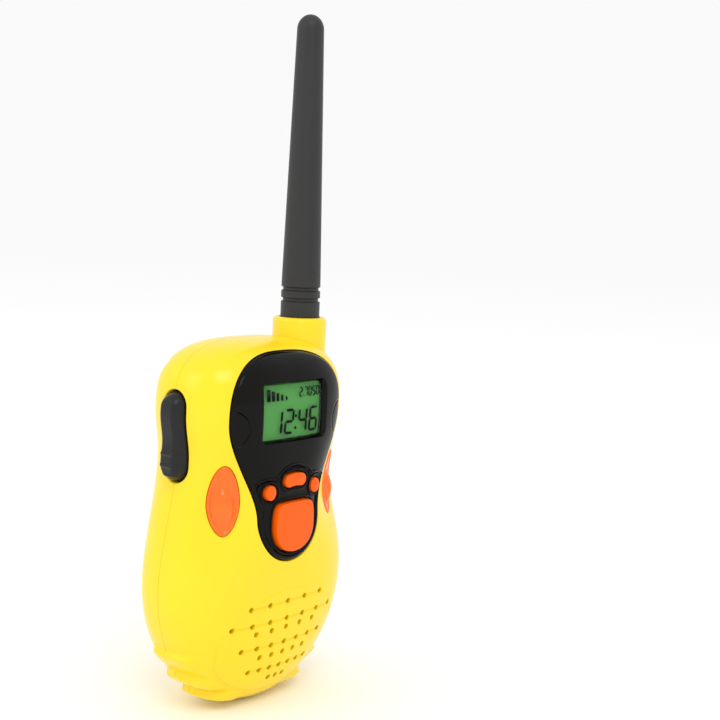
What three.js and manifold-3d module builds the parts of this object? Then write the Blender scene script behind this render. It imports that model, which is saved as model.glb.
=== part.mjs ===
// A hand-held toy radio with a peanut-shaped two-piece shell, a flexible antenna, a keyhole
// front plate and a talk lever on its left flank. Millimetres, +Z up, the front faces -Y.
// The origin is the centre of the flat under the chin, on the plane where the shells part (y = 0).
import * as THREE from 'three';
import { mergeVertices } from 'three/addons/utils/BufferGeometryUtils.js';
import Module from 'manifold-3d';

const wasm = await Module();
wasm.setup();

// ---------------------------------------------------------------- driving dimensions
const GAP = 0.3; // clearance between pieces that touch
const FLOOR_Z = 3.5; // heights are drawn from a datum this far under the flat chin
const WALL = 2.0; // shell wall

// Outline seen from the front: half width at three heights, and the two rounded ends.
const LOW = { z: 42.5, half: 35.5 };
const WAIST = { z: 82.5, half: 29.8 };
const HEAD = { z: 95.0, half: 31.3 };
const TOP_Z = 116.5;
const BOTTOM_Z = 2.9;
const TOP_POWER = 2.95;
const BOTTOM_POWER = 2.0;

// Section seen from above: a superellipse, with its front corners scooped at the waist.
const DEPTH = 19.7; // parting plane to the front, and to the back
const WIDTH_POWER = 3.06;
const DEPTH_POWER = 2.37;
const FRONT_DROP = { z: 76, amount: 1.7 };
const SCOOP = { z: 68, spread: 13, amount: 0.28 };

const CHIN_TAB = { half: 4.6, front: -5, back: 2.5, height: 2.2 };
const RIB = { radius: 4.2, halfLength: 6.5, sunk: 3.1 };
const RIB_ANGLES = [24, 42, 60].map(THREE.MathUtils.degToRad); // round the chin, from straight down

const PLATE = { bottom: 50.3, bowl: 64, bowlHalf: 12.9, shoulder: 94, half: 23.3, top: 113.2, power: 2.7 };
const PLATE_PROUD = 0.4;
const PLATE_INSET = 1.6;
const DISPLAY = { half: 12.8, bottom: 87.6, top: 104.0, lip: 1.6 };
const KEY_TRAVEL = 0.8;
const CALL_TRAVEL = 1.2;
const TOE = { x: 9.5, z: 72.1, halfWidth: 2.4, halfHeight: 2.6 };
const MIDDLE_KEY_Z = 75.2;
const CALL = { bottom: 52.3, top: 68.9, half: 8.0 };
const KEY_PROUD = 1.5;
const CALL_PROUD = 2.5;

const LEAF = { x: 22.2, z: 70.5, halfWidth: 5.2, halfHeight: 10.8, angle: THREE.MathUtils.degToRad(33) };
const LEAF_DOME = { drop: 2.2, halfWidth: 3.8, halfHeight: 6.8, proud: 2.4 };

const TALK = { bottom: 74.8, top: 102.4, halfWidth: 4.8, pivotX: -26.6, pivotZ: 99.5, pinRadius: 1.0 };
const SLIDER = { bottom: 79.5, top: 92.5, halfWidth: 2.4, rest: 89, knobHalf: 3 };

const ANTENNA = { x: 21, radius: 6.2, tipRadius: 4.2, collarTop: 121.8, bend: 129.4, top: 215.8 };
const COLLAR = { outer: 8.55, bore: 6.6, bottom: 103.5 };

const GRILLE_HOLE = 0.8;
const GRILLE_ROWS = [
  { z: 37.4, reach: 15.0, count: 5 },
  { z: 32.0, reach: 21.0, count: 7 },
  { z: 29.2, reach: 12.2, count: 5 },
  { z: 24.4, reach: 16.6, count: 7 },
  { z: 21.1, reach: 9.3, count: 5 },
  { z: 16.6, reach: 12.1, count: 7 },
  { z: 12.9, reach: 3.0, count: 3 },
];

const BOARD = { front: -9.0, back: -7.4, bottom: 50, step: 74, top: 104.5, narrow: 16.5, wide: 20 };
const SPEAKER_Z = 30.5;
const BATTERY = { halfWidth: 13.25, front: -2.7, back: 14.8, bottom: 20, top: 66.5, terminalTop: 68.5 };
const TRAY = { halfWidth: 13.7, front: -3.0, bottom: 18.9, top: 72.2, wall: 1.5 };
const DOOR = { halfWidth: 16, bottom: 15.5, top: 79, corner: 4, thickness: 1.8, screwZ: 76.2 };
const CLIP = {
  half: 7, root: 99.5, tip: 82, inner: 24.4, thickness: 1.8, baseBottom: 97.5, baseTop: 106.5, screwZ: 103.5,
};

const SHELL_SCREWS = [[-23, 107], [26.4, 99.8], [-27.5, 55], [27.5, 55], [-24, 20], [24, 20]];
const SCREW = { head: 2.6, shank: 1.15, seat: 10, headHeight: 1.8, tip: -6.5 };
const BOARD_SCREWS = [[-17, 87], [17, 87]];

// ---------------------------------------------------------------- materials
const surface = (color, roughness, metalness = 0) =>
  new THREE.MeshStandardMaterial({ color, roughness, metalness });
const YELLOW = surface(0xfde23c, 0.28);
const BLACK_GLOSS = surface(0x1b1917, 0.12);
const BLACK_RUBBER = surface(0x2e2e2e, 0.6);
const BLACK_SATIN = surface(0x3b3937, 0.4);
const ORANGE = surface(0xfe5a14, 0.25);
const ORANGE_LENS = surface(0xfd7b16, 0.15);
const GREEN = surface(0x408c38, 0.5);
const CLEAR = surface(0xdfe8e0, 0.05);
const BOARD_GREEN = surface(0x1f6b3a, 0.6);
const STEEL = surface(0xb9bcc0, 0.35, 0.9);
const COPPER = surface(0xb8703a, 0.4, 0.8);
const PAPER = surface(0x26241f, 0.9);
const GREY_RUBBER = surface(0x8d8f8c, 0.8);
const BLACK_PART = surface(0x202020, 0.5);
const RED_WIRE = surface(0xc01a1a, 0.5);
const BLUE_CAN = surface(0x2a3f78, 0.4);
const LED_RED = surface(0xe02818, 0.2);

// ---------------------------------------------------------------- solids and placing
const group = new THREE.Group();

/** A closed three.js geometry as a solid for cutting and joining. */
function solid(geometry) {
  const bare = new THREE.BufferGeometry();
  bare.setAttribute('position', geometry.getAttribute('position'));
  bare.setIndex(geometry.getIndex());
  const merged = mergeVertices(bare, 1e-4);
  const index = merged.getIndex().array;
  const faces = [];
  for (let i = 0; i < index.length; i += 3) {
    const [a, b, c] = [index[i], index[i + 1], index[i + 2]];
    if (a !== b && b !== c && c !== a) faces.push(a, b, c);
  }
  const vertProperties = new Float32Array(merged.getAttribute('position').array);
  return new wasm.Manifold(new wasm.Mesh({ numProp: 3, vertProperties, triVerts: new Uint32Array(faces) }));
}

/** Add a sub-part made from a solid or straight from a geometry. */
function part(name, shape, material) {
  let geometry = shape;
  if (!shape.isBufferGeometry) {
    const mesh = shape.getMesh();
    geometry = new THREE.BufferGeometry();
    geometry.setAttribute('position', new THREE.BufferAttribute(new Float32Array(mesh.vertProperties), 3));
    geometry.setIndex(new THREE.BufferAttribute(new Uint32Array(mesh.triVerts), 1));
    geometry.computeVertexNormals();
  }
  const mesh = new THREE.Mesh(geometry, material);
  mesh.name = name;
  group.add(mesh);
}

const union = (solids) => solids.reduce((sum, piece) => sum.add(piece));

/** A box from its lowest corner to its highest corner. */
function boxGeometry(low, high) {
  const size = high.map((value, i) => value - low[i]);
  const middle = high.map((value, i) => (value + low[i]) / 2);
  return new THREE.BoxGeometry(...size).translate(...middle);
}
const box = (low, high) => solid(boxGeometry(low, high));

/** A cylinder along Y from y0 to y1. */
function rodYGeometry(radius, x, z, y0, y1, sides = 16) {
  return new THREE.CylinderGeometry(radius, radius, y1 - y0, sides).translate(x, (y0 + y1) / 2, z);
}
const rodY = (...sizes) => solid(rodYGeometry(...sizes));

/** A cylinder along Z from z0 to z1. */
function rodZ(radius, x, y, z0, z1, sides = 24) {
  const rod = new THREE.CylinderGeometry(radius, radius, z1 - z0, sides).rotateX(Math.PI / 2);
  return solid(rod.translate(x, y, (z0 + z1) / 2));
}

/** A cylinder along X from x0 to x1. */
function rodX(radius, y, z, x0, x1, sides = 16) {
  const rod = new THREE.CylinderGeometry(radius, radius, x1 - x0, sides).rotateZ(-Math.PI / 2);
  return solid(rod.translate((x0 + x1) / 2, y, z));
}

/** An outline drawn in (x, z), extruded along Y from y0 to y1. */
function prismYGeometry(outline, y0, y1, curveSegments = 8) {
  const options = { depth: y1 - y0, bevelEnabled: false, curveSegments };
  return new THREE.ExtrudeGeometry(outline, options).rotateX(Math.PI / 2).translate(0, y1, 0);
}
const prismY = (...sizes) => solid(prismYGeometry(...sizes));

/** A profile of [radius, height] points turned about Z. */
const turnedZ = (profile, sides = 20) =>
  new THREE.LatheGeometry(profile.map(([r, z]) => new THREE.Vector2(r, z)), sides).rotateX(Math.PI / 2);

/** A profile of [radius, y] points turned about the Y axis through (0, z). */
const turnedY = (profile, z, sides = 24) =>
  new THREE.LatheGeometry(profile.map(([r, y]) => new THREE.Vector2(r, y)), sides).translate(0, 0, z);

/** A round wire of the given radius through a list of points. */
function wire(points, radius, steps = 9) {
  const path = new THREE.CatmullRomCurve3(points.map((point) => new THREE.Vector3(...point)));
  const section = new THREE.Shape().absarc(0, 0, radius, 0, 2 * Math.PI);
  return new THREE.ExtrudeGeometry(section,
    { extrudePath: path, steps, bevelEnabled: false, curveSegments: 3 });
}

/** A rectangle with rounded corners, in (x, z). */
function roundedRectangle(x0, x1, z0, z1, corner) {
  const outline = new THREE.Shape();
  outline.moveTo(x0 + corner, z0);
  outline.lineTo(x1 - corner, z0);
  outline.absarc(x1 - corner, z0 + corner, corner, -Math.PI / 2, 0);
  outline.absarc(x1 - corner, z1 - corner, corner, 0, Math.PI / 2);
  outline.absarc(x0 + corner, z1 - corner, corner, Math.PI / 2, Math.PI);
  outline.absarc(x0 + corner, z0 + corner, corner, Math.PI, 1.5 * Math.PI);
  return outline;
}

/** An outline of points that mirrors the right-hand half, listed from bottom to top. */
function mirroredOutline(right) {
  const left = right.filter(([x]) => x > 0).map(([x, z]) => [-x, z]).reverse();
  return new THREE.Shape([...right, ...left].map(([x, z]) => new THREE.Vector2(x, z)));
}

// ---------------------------------------------------------------- body form
const clamp01 = (value) => Math.min(1, Math.max(0, value));
function smoothStep(value) {
  const u = clamp01(value);
  return u * u * (3 - 2 * u);
}

function halfWidth(z) {
  const toWaist = smoothStep((z - LOW.z) / (WAIST.z - LOW.z));
  const toHead = smoothStep((z - WAIST.z) / (HEAD.z - WAIST.z));
  return LOW.half + (WAIST.half - LOW.half) * toWaist + (HEAD.half - WAIST.half) * toHead;
}

const scoopAt = (z) => SCOOP.amount * Math.exp(-(((z - SCOOP.z) / SCOOP.spread) ** 2));
const frontDepth = (z) =>
  DEPTH - FRONT_DROP.amount * Math.max(0, (FRONT_DROP.z - z) / (FRONT_DROP.z - BOTTOM_Z)) ** 2;

/** Depth at a section angle: 0 at the middle of the face, a right angle at the parting plane. */
function depthAt(angle, z, isFront, inset) {
  const round = Math.max(0, Math.cos(angle)) ** (2 / DEPTH_POWER);
  if (!isFront) return (DEPTH - inset) * round;
  return -(frontDepth(z) - inset) * round * (1 - scoopAt(z) * Math.sin(2 * angle) ** 2);
}

/** The outline's points, each with the height of the spine point that its section starts from. */
function outlinePoints(inset) {
  const points = [];
  const capSteps = 10;
  const sideSteps = 5;
  const cap = (half, from, reach, power, start) => {
    for (let i = 0; i < capSteps; i += 1) {
      const angle = start + (Math.PI * i) / capSteps;
      const [c, s] = [Math.cos(angle), Math.sin(angle)];
      const r = (Math.abs(c) ** power + Math.abs(s) ** power) ** (-1 / power);
      points.push({ x: half * c * r, z: from + reach * Math.abs(s) * r, spine: from });
    }
  };
  const side = (sign, from, to) => {
    for (let i = 0; i < sideSteps; i += 1) {
      const z = from + ((to - from) * i) / sideSteps;
      points.push({ x: sign * (halfWidth(z) - inset), z, spine: z });
    }
  };
  side(1, LOW.z, HEAD.z);
  cap(HEAD.half - inset, HEAD.z, TOP_Z - HEAD.z - inset, TOP_POWER, 0);
  side(-1, HEAD.z, LOW.z);
  cap(LOW.half - inset, LOW.z, BOTTOM_Z - LOW.z + inset, BOTTOM_POWER, Math.PI);
  return points;
}

/** The whole body as one closed form, drawn in on every side by the inset. */
function bodyForm(inset) {
  const outline = outlinePoints(inset);
  const rings = 14;
  const positions = [];
  for (let ring = 0; ring <= rings; ring += 1) {
    const isFront = ring <= rings / 2;
    const angle = isFront ? (Math.PI * ring) / rings : Math.PI - (Math.PI * ring) / rings;
    const share = Math.sin(angle) ** (2 / WIDTH_POWER);
    for (const point of outline) {
      const z = point.spine + (point.z - point.spine) * share;
      positions.push(point.x * share, depthAt(angle, z, isFront, inset), z);
    }
  }
  const count = outline.length;
  const index = [];
  for (let ring = 0; ring < rings; ring += 1) {
    for (let i = 0; i < count; i += 1) {
      const a = ring * count + i;
      const b = ring * count + ((i + 1) % count);
      index.push(a, b + count, b, a, a + count, b + count);
    }
  }
  const geometry = new THREE.BufferGeometry();
  geometry.setAttribute('position', new THREE.Float32BufferAttribute(positions, 3));
  geometry.setIndex(index);
  return solid(geometry);
}

const layer = (from, to) => bodyForm(from).subtract(bodyForm(to));
const FAR = 60; // reaches past the body in any direction
const frontHalf = box([-FAR, -FAR, -FAR], [FAR, -GAP / 2, 2 * FAR]);
const backHalf = box([-FAR, GAP / 2, -FAR], [FAR, FAR, 2 * FAR]);

/** Height of the front face at (x, z), as its y. */
function frontY(x, z) {
  const half = z > HEAD.z ? HEAD.half : z < LOW.z ? LOW.half : halfWidth(z);
  const below = z < LOW.z ? (LOW.z - z) / (LOW.z - BOTTOM_Z) : 0;
  const reach = z > HEAD.z ? (z - HEAD.z) / (TOP_Z - HEAD.z) : below;
  const power = z > HEAD.z ? TOP_POWER : BOTTOM_POWER;
  const share = (Math.abs(x / half) ** power + reach ** power) ** (1 / power);
  return depthAt(Math.asin(clamp01(share) ** (WIDTH_POWER / 2)), z, true, 0);
}

// ---------------------------------------------------------------- outlines on the face
function plateOutline(grow = 0) {
  const right = [];
  const bowlSteps = 7;
  for (let i = 0; i <= bowlSteps; i += 1) {
    const angle = (Math.PI / 2) * (i / bowlSteps);
    right.push([PLATE.bowlHalf * Math.sin(angle),
      PLATE.bowl - (PLATE.bowl - PLATE.bottom) * Math.cos(angle)]);
  }
  const neckSteps = 7;
  for (let i = 1; i <= neckSteps; i += 1) {
    const u = i / neckSteps;
    const half = PLATE.bowlHalf + (PLATE.half - PLATE.bowlHalf) * smoothStep(u);
    right.push([half, PLATE.bowl + (PLATE.shoulder - PLATE.bowl) * u]);
  }
  const crownSteps = 8;
  for (let i = 1; i <= crownSteps; i += 1) {
    const angle = (Math.PI / 2) * (i / crownSteps);
    const [c, s] = [Math.cos(angle), Math.sin(angle)];
    const r = (c ** PLATE.power + s ** PLATE.power) ** (-1 / PLATE.power);
    right.push([PLATE.half * c * r, PLATE.shoulder + (PLATE.top - PLATE.shoulder) * s * r]);
  }
  const middle = (PLATE.bottom + PLATE.top) / 2;
  const grown = right.map(([x, z]) => {
    const stretchX = x > 0.01 ? x + grow : 0;
    return [stretchX, z + grow * Math.sign(z - middle) * (Math.abs(z - middle) > 20 ? 1 : 0)];
  });
  return mirroredOutline(grown);
}

function ovalOutline(x, z, halfX, halfZ) {
  return new THREE.Shape().absellipse(x, z, halfX, halfZ, 0, 2 * Math.PI);
}

/** The middle key: a short bean that arches over the big button. */
function beanOutline(grow = 0) {
  const bend = 14;
  const spread = 0.21;
  const thick = 2.3 + grow;
  const centreZ = MIDDLE_KEY_Z - bend;
  const outline = new THREE.Shape();
  const up = Math.PI / 2;
  outline.absarc(0, centreZ, bend + thick, up - spread, up + spread);
  const end = (side) => [-side * bend * Math.sin(spread), centreZ + bend * Math.cos(spread)];
  outline.absarc(...end(1), thick, up + spread, up + spread + Math.PI);
  outline.absarc(0, centreZ, bend - thick, up + spread, up - spread, true);
  outline.absarc(...end(-1), thick, up - spread - Math.PI, up - spread);
  return outline;
}

/** The big button: flat shoulders above, drawn in to a round chin below. */
function callOutline(grow = 0) {
  const half = CALL.half + grow;
  const [low, high] = [CALL.bottom - grow, CALL.top + grow];
  const outline = new THREE.Shape();
  outline.moveTo(0, low);
  outline.bezierCurveTo(half * 0.72, low, half, low + 5.2, half, low + 9.4);
  outline.bezierCurveTo(half, high - 2.6, half * 0.86, high - 0.2, half * 0.5, high);
  outline.bezierCurveTo(half * 0.2, high + 0.2, -half * 0.2, high + 0.2, -half * 0.5, high);
  outline.bezierCurveTo(-half * 0.86, high - 0.2, -half, high - 2.6, -half, low + 9.4);
  outline.bezierCurveTo(-half, low + 5.2, -half * 0.72, low, 0, low);
  return outline;
}

const displayOutline = (grow) =>
  roundedRectangle(-DISPLAY.half - grow, DISPLAY.half + grow, DISPLAY.bottom - grow, DISPLAY.top + grow, 1);

// ---------------------------------------------------------------- cuts shared by both shells
/** A pill standing on end across the X axis: the slot of the talk lever. */
function pillX(bottom, top, half, x0, x1) {
  const pill = roundedRectangle(-half, half, bottom, top, half - 0.01);
  const options = { depth: x1 - x0, bevelEnabled: false, curveSegments: 5 };
  const geometry = new THREE.ExtrudeGeometry(pill, options);
  return solid(geometry.rotateX(Math.PI / 2).rotateZ(Math.PI / 2).translate(x0, 0, 0));
}

const talkSlot = pillX(TALK.bottom, TALK.top, TALK.halfWidth, -40, -20);
const sliderSlot = box([20, -SLIDER.halfWidth, SLIDER.bottom], [40, SLIDER.halfWidth, SLIDER.top]);
const collarHole = rodZ(COLLAR.outer + GAP, ANTENNA.x, 0, COLLAR.bottom - GAP, 140);

/** Ears behind the talk slot that hold the two ends of the lever's pin. */
function pinEars() {
  const ears = [-1, 1].map((side) => {
    const [near, far] = [6.1 * side, 8.6 * side];
    const low = [TALK.pivotX - 4, Math.min(near, far), TALK.pivotZ - 2.4];
    return box(low, [TALK.pivotX + 2.4, Math.max(near, far), TALK.pivotZ + 2.4]);
  });
  return union(ears).intersect(bodyForm(0.6));
}

/** Ribs round the chin, all lying front to back. */
function chinRibs() {
  const ribs = RIB_ANGLES.flatMap((angle) => [-1, 1].map((side) => {
    const x = side * (LOW.half - RIB.sunk) * Math.sin(angle);
    const z = LOW.z - (LOW.z - BOTTOM_Z - RIB.sunk) * Math.cos(angle);
    return solid(new THREE.CapsuleGeometry(RIB.radius, 2 * RIB.halfLength, 2, 8).translate(x, 0, z));
  }));
  return union(ribs);
}

/** A tab of the front shell that crosses the parting plane under the chin. */
function chinTab(grow) {
  const { half, front, back, height } = CHIN_TAB;
  return box([-half - grow, front - grow, FLOOR_Z - grow],
    [half + grow, back + grow, FLOOR_Z + height + grow]);
}

const belowFloor = box([-FAR, -FAR, -FAR], [FAR, FAR, FLOOR_Z]);
const shellBody = bodyForm(0).add(chinRibs()).subtract(bodyForm(WALL)).subtract(belowFloor);
const sharedCuts = union([talkSlot, sliderSlot, collarHole]);
const pinHole = rodY(TALK.pinRadius + GAP + 0.05, TALK.pivotX, TALK.pivotZ, -8.3, 8.3);

// ---------------------------------------------------------------- side buttons
/** Turn a shape drawn facing -Y at the origin so that it stands on a front corner of the waist. */
function onCorner(geometry, side) {
  const y = frontY(LEAF.x, LEAF.z);
  return geometry.rotateZ(side * LEAF.angle).translate(side * LEAF.x, y, LEAF.z);
}

function leafPrism(side, grow, from, to) {
  const [w, h] = [LEAF.halfWidth + grow, LEAF.halfHeight + grow];
  const leaf = new THREE.Shape();
  leaf.moveTo(0, h);
  leaf.bezierCurveTo(w * 0.55, h, w, h * 0.35, w, -h * 0.08);
  leaf.bezierCurveTo(w, -h * 0.5, w * 0.5, -h, 0, -h);
  leaf.bezierCurveTo(-w * 0.5, -h, -w, -h * 0.5, -w, -h * 0.08);
  leaf.bezierCurveTo(-w, h * 0.35, -w * 0.55, h, 0, h);
  return solid(onCorner(prismYGeometry(leaf, from, to, 3), side));
}

function sideButton(side) {
  const lens = leafPrism(side, 0, -6, 6).intersect(layer(-0.3, 3.2));
  const flange = leafPrism(side, 1.2, -6, 8).intersect(layer(WALL + GAP, 3.2));
  const { halfWidth: w, halfHeight: h, proud, drop } = LEAF_DOME;
  const ball = new THREE.SphereGeometry(1, 10, 8).scale(w, proud + 1, h).translate(0, 1, -drop);
  const dome = solid(onCorner(ball, side)).intersect(leafPrism(side, 0, -9, 3));
  return union([lens, flange, dome]);
}

// ---------------------------------------------------------------- casing
function frontShell() {
  const bosses = SHELL_SCREWS.map(([x, z]) => rodY(2.8, x, z, frontY(x, z), -0.6, 12));
  const body = shellBody.intersect(frontHalf);
  const inside = union([...bosses, pinEars().intersect(frontHalf)]).intersect(bodyForm(0.6));
  const cuts = [prismY(plateOutline(GAP), -30, -6), pinHole, sharedCuts];
  for (const side of [-1, 1]) cuts.push(leafPrism(side, GAP, -8, 8));
  for (const [x, z] of SHELL_SCREWS) cuts.push(rodY(SCREW.shank + GAP, x, z, SCREW.tip - 1, 2, 10));
  for (const { z, reach, count } of GRILLE_ROWS) {
    for (let i = 0; i < count; i += 1) {
      const x = -reach + (2 * reach * i) / (count - 1);
      cuts.push(rodY(GRILLE_HOLE, x, z, -25, frontY(x, z) + 6, 6));
    }
  }
  return union([body, inside, chinTab(0)]).subtract(union(cuts));
}

function backShell() {
  const ledge = layer(1.0, 3.9).intersect(
    box([-DOOR.halfWidth - 2.5, 4, DOOR.bottom - 2], [DOOR.halfWidth + 2.5, FAR, DOOR.top + 2]));
  const wall = TRAY.wall;
  const tray = box(
    [-TRAY.halfWidth - wall, TRAY.front - wall, TRAY.bottom - wall],
    [TRAY.halfWidth + wall, 18, TRAY.top + wall]).intersect(bodyForm(1.0));
  const bosses = SHELL_SCREWS.map(([x, z]) => rodY(3.8, x, z, 0.6, 19, 14).intersect(bodyForm(0.6)));
  const doorBoss = rodY(3.0, 0, DOOR.screwZ, 8, 17, 12);
  const clipBoss = rodY(3.2, 0, CLIP.screwZ, 6, 16, 12).intersect(bodyForm(0.6));
  const body = union([shellBody.intersect(backHalf), ledge, tray, ...bosses, doorBoss, clipBoss,
    pinEars().intersect(backHalf)]);

  const doorHole = roundedRectangle(-DOOR.halfWidth - GAP, DOOR.halfWidth + GAP, DOOR.bottom - GAP,
    DOOR.top + GAP, DOOR.corner);
  const doorPocket = prismY(doorHole, 3, FAR, 3).subtract(bodyForm(DOOR.thickness + GAP));
  const bay = box([-TRAY.halfWidth, TRAY.front, TRAY.bottom], [TRAY.halfWidth, FAR, TRAY.top]);
  const wireNotch = box([-6, TRAY.front - 2, 69.6], [6, TRAY.front + 1, TRAY.top]);
  const cuts = [doorPocket, bay, wireNotch, pinHole, sharedCuts, chinTab(GAP),
    rodY(1.2, 0, DOOR.screwZ, 9, FAR, 10), rodY(1.3, 0, CLIP.screwZ, 8, FAR, 10)];
  for (const [x, z] of SHELL_SCREWS) {
    cuts.push(rodY(SCREW.shank + GAP + 0.05, x, z, -2, FAR, 10));
    cuts.push(rodY(SCREW.head + 0.4, x, z, SCREW.seat - GAP, FAR, 14));
  }
  return body.subtract(union(cuts));
}

function faceplate() {
  const slab = prismY(plateOutline(), -30, -6).intersect(layer(-PLATE_PROUD, PLATE_INSET));
  const posts = BOARD_SCREWS.map(([x, z]) => rodY(2, x, z, frontY(x, z) + 1, BOARD.front - GAP, 10));
  const cuts = [
    prismY(displayOutline(0), -30, 0, 3),
    prismY(callOutline(GAP), -30, 0, 6),
    prismY(beanOutline(GAP), -30, 0, 5),
    ...[-1, 1].map((side) => prismY(
      ovalOutline(side * TOE.x, TOE.z, TOE.halfWidth + GAP, TOE.halfHeight + GAP), -30, 0, 8)),
    ...BOARD_SCREWS.map(([x, z]) => rodY(1.2, x, z, -13.6, 0, 8)),
  ];
  return union([slab, ...posts]).subtract(union(cuts));
}

/** A key: cap through the plate, flange behind it, and a stem that stops short of the board. */
function key(outline, flangeOutline, x, z, reach, proud, travel, steps) {
  const front = frontY(x, z) - proud;
  const corners = [-1, 1].flatMap((i) => [-1, 1].map((j) => frontY(x + i * reach[0], z + j * reach[1])));
  const flangeFront = Math.max(...corners) + PLATE_INSET + 2 * GAP;
  const cap = prismY(outline, front, flangeFront + 1, steps);
  const flange = prismY(flangeOutline, flangeFront, flangeFront + 1, steps);
  const stem = rodY(1.3, x, z, flangeFront + 0.5, BOARD.front - travel - 0.1, 10);
  return union([cap, flange, stem]);
}

function battery() {
  const { halfWidth: w, front, back, bottom, top, terminalTop } = BATTERY;
  const can = new THREE.ExtrudeGeometry(roundedRectangle(-w, w, front, back, 2),
    { depth: top - bottom, bevelEnabled: false, curveSegments: 3 }).translate(0, 0, bottom);
  const middle = (front + back) / 2;
  return union([solid(can), rodZ(2.9, -6.35, middle, top - 1, terminalTop, 12),
    rodZ(3.6, 6.35, middle, top - 1, terminalTop, 6)]);
}

// ---------------------------------------------------------------- talk lever and power slider
function talkLever() {
  const grip = new THREE.Shape();
  grip.moveTo(-25.4, 73.6);
  grip.lineTo(-31.2, 73.6);
  grip.bezierCurveTo(-35.6, 76, -35.0, 82, -32.2, 85.4);
  grip.bezierCurveTo(-33.4, 91, -36.0, 99, -30.8, 104);
  grip.lineTo(-25.4, 104);
  const bar = pillX(TALK.bottom + 0.9, TALK.top - GAP - 0.1, TALK.halfWidth - 0.4, -40, -25.4);
  const body = bar.intersect(prismY(grip, -8, 8, 6));
  const flange = pillX(73.4, 103.6, 5.8, -26.9, -25.4);
  const eye = rodY(2.3, TALK.pivotX + 0.3, TALK.pivotZ, -4.2, 4.2);
  return union([body, flange, eye]).subtract(
    rodY(TALK.pinRadius + GAP, TALK.pivotX, TALK.pivotZ, -9, 9));
}

function powerSlider() {
  const { rest, knobHalf, halfWidth: slotHalf } = SLIDER;
  const knob = box([26, -slotHalf + GAP, rest - knobHalf], [31.0, slotHalf - GAP, rest + knobHalf]);
  return knob.add(box([25.9, -3.6, rest - 5.3], [27.1, 3.6, rest + 5.3]));
}

// ---------------------------------------------------------------- antenna
const { x: AX, radius: AR } = ANTENNA;
function antennaBase() {
  const profile = [[1.6, 106], [AR, 106], [AR, 125.9], [5.6, 126.3], [5.6, 127.3], [AR, 127.7],
    [AR, 128.2], [1.6, 129.1], [1.6, 106]];
  return turnedZ(profile).translate(AX, 0, 0);
}

function antennaWhip() {
  const { bend, top, tipRadius } = ANTENNA;
  const profile = [[0, bend], [0.6, bend], [5.6, bend + 1.6], [5.6, bend + 2.0], [AR - 0.05, bend + 2.4],
    [AR - 0.1, bend + 5], [tipRadius + 0.1, top - 8], [tipRadius, top - tipRadius]];
  for (let i = 1; i <= 4; i += 1) {
    const angle = (Math.PI / 2) * (i / 4);
    profile.push([tipRadius * Math.cos(angle), top - tipRadius + tipRadius * Math.sin(angle)]);
  }
  profile[profile.length - 1][0] = 0;
  return turnedZ(profile).translate(AX, 0, 0);
}

function antennaCollar() {
  const { outer, bore, bottom } = COLLAR;
  const top = ANTENNA.collarTop;
  return turnedZ([[bore, bottom], [outer, bottom], [outer, top - 1.4], [outer - 0.5, top - 0.4],
    [outer - 1.4, top], [bore, top], [bore, bottom]], 24).translate(AX, 0, 0);
}

// ---------------------------------------------------------------- screws
function crossScrew(x, z, headRadius, headY, headHeight, shank, tipY) {
  const profile = [[0, tipY], [shank, tipY + 1.5], [shank, headY], [headRadius, headY],
    [headRadius, headY + headHeight * 0.5], [headRadius * 0.6, headY + headHeight], [0, headY + headHeight]];
  const screw = solid(turnedY(profile, z, 8).translate(x, 0, 0));
  const [long, narrow] = [headRadius * 0.55, headRadius * 0.16];
  const [low, high] = [headY + headHeight * 0.45, headY + headHeight + 1];
  const slots = [[long, narrow], [narrow, long]].map(
    ([w, h]) => box([x - w, low, z - h], [x + w, high, z + h]));
  return screw.subtract(union(slots));
}

// ---------------------------------------------------------------- belt clip
function clipBase() {
  const { half, baseBottom, baseTop, inner, thickness } = CLIP;
  const block = prismY(roundedRectangle(-half - 1.5, half + 1.5, baseBottom, baseTop, 2), 12,
    inner + thickness, 3);
  const tongueSeat = box([-half - GAP, inner - 1.2, 90], [half + GAP, FAR, CLIP.root + 1.6]);
  const screwHole = rodY(1.5, 0, CLIP.screwZ, 0, FAR, 10)
    .add(rodY(2.6, 0, CLIP.screwZ, inner - 1.4, FAR, 12));
  return block.subtract(bodyForm(-GAP)).subtract(tongueSeat).subtract(screwHole);
}

function clipTongue() {
  const { half, root, tip, inner, thickness } = CLIP;
  const blade = prismY(roundedRectangle(-half, half, tip, root + 1.2, 2), inner, inner + thickness, 3);
  const lip = prismY(roundedRectangle(-half, half, tip, tip + 3, 1.2), inner - 2.4, inner + 0.5, 3);
  return blade.add(lip);
}

// ---------------------------------------------------------------- assembly
part('front_shell', frontShell(), YELLOW);
part('back_shell', backShell(), YELLOW);
part('faceplate', faceplate(), BLACK_GLOSS);
part('display_window', prismY(displayOutline(DISPLAY.lip), -30, -6, 3).intersect(layer(1.95, 2.75)), CLEAR);
part('display_card', prismY(displayOutline(DISPLAY.lip - 0.4), -30, -6, 3).intersect(layer(3.1, 3.7)), GREEN);

part('call_button',
  key(callOutline(), callOutline(1.1), 0, 60.6, [9.1, 9.2], CALL_PROUD, CALL_TRAVEL, 5), ORANGE);
part('key_middle',
  key(beanOutline(), beanOutline(0.9), 0, MIDDLE_KEY_Z, [6.2, 3.4], KEY_PROUD, KEY_TRAVEL, 4), ORANGE);
for (const [name, side] of [['key_left', -1], ['key_right', 1]]) {
  const x = side * TOE.x;
  const cap = ovalOutline(x, TOE.z, TOE.halfWidth, TOE.halfHeight);
  const flange = ovalOutline(x, TOE.z, TOE.halfWidth + 0.9, TOE.halfHeight + 0.9);
  part(name, key(cap, flange, x, TOE.z, [3.3, 3.5], KEY_PROUD, KEY_TRAVEL, 6), ORANGE);
}

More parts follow.
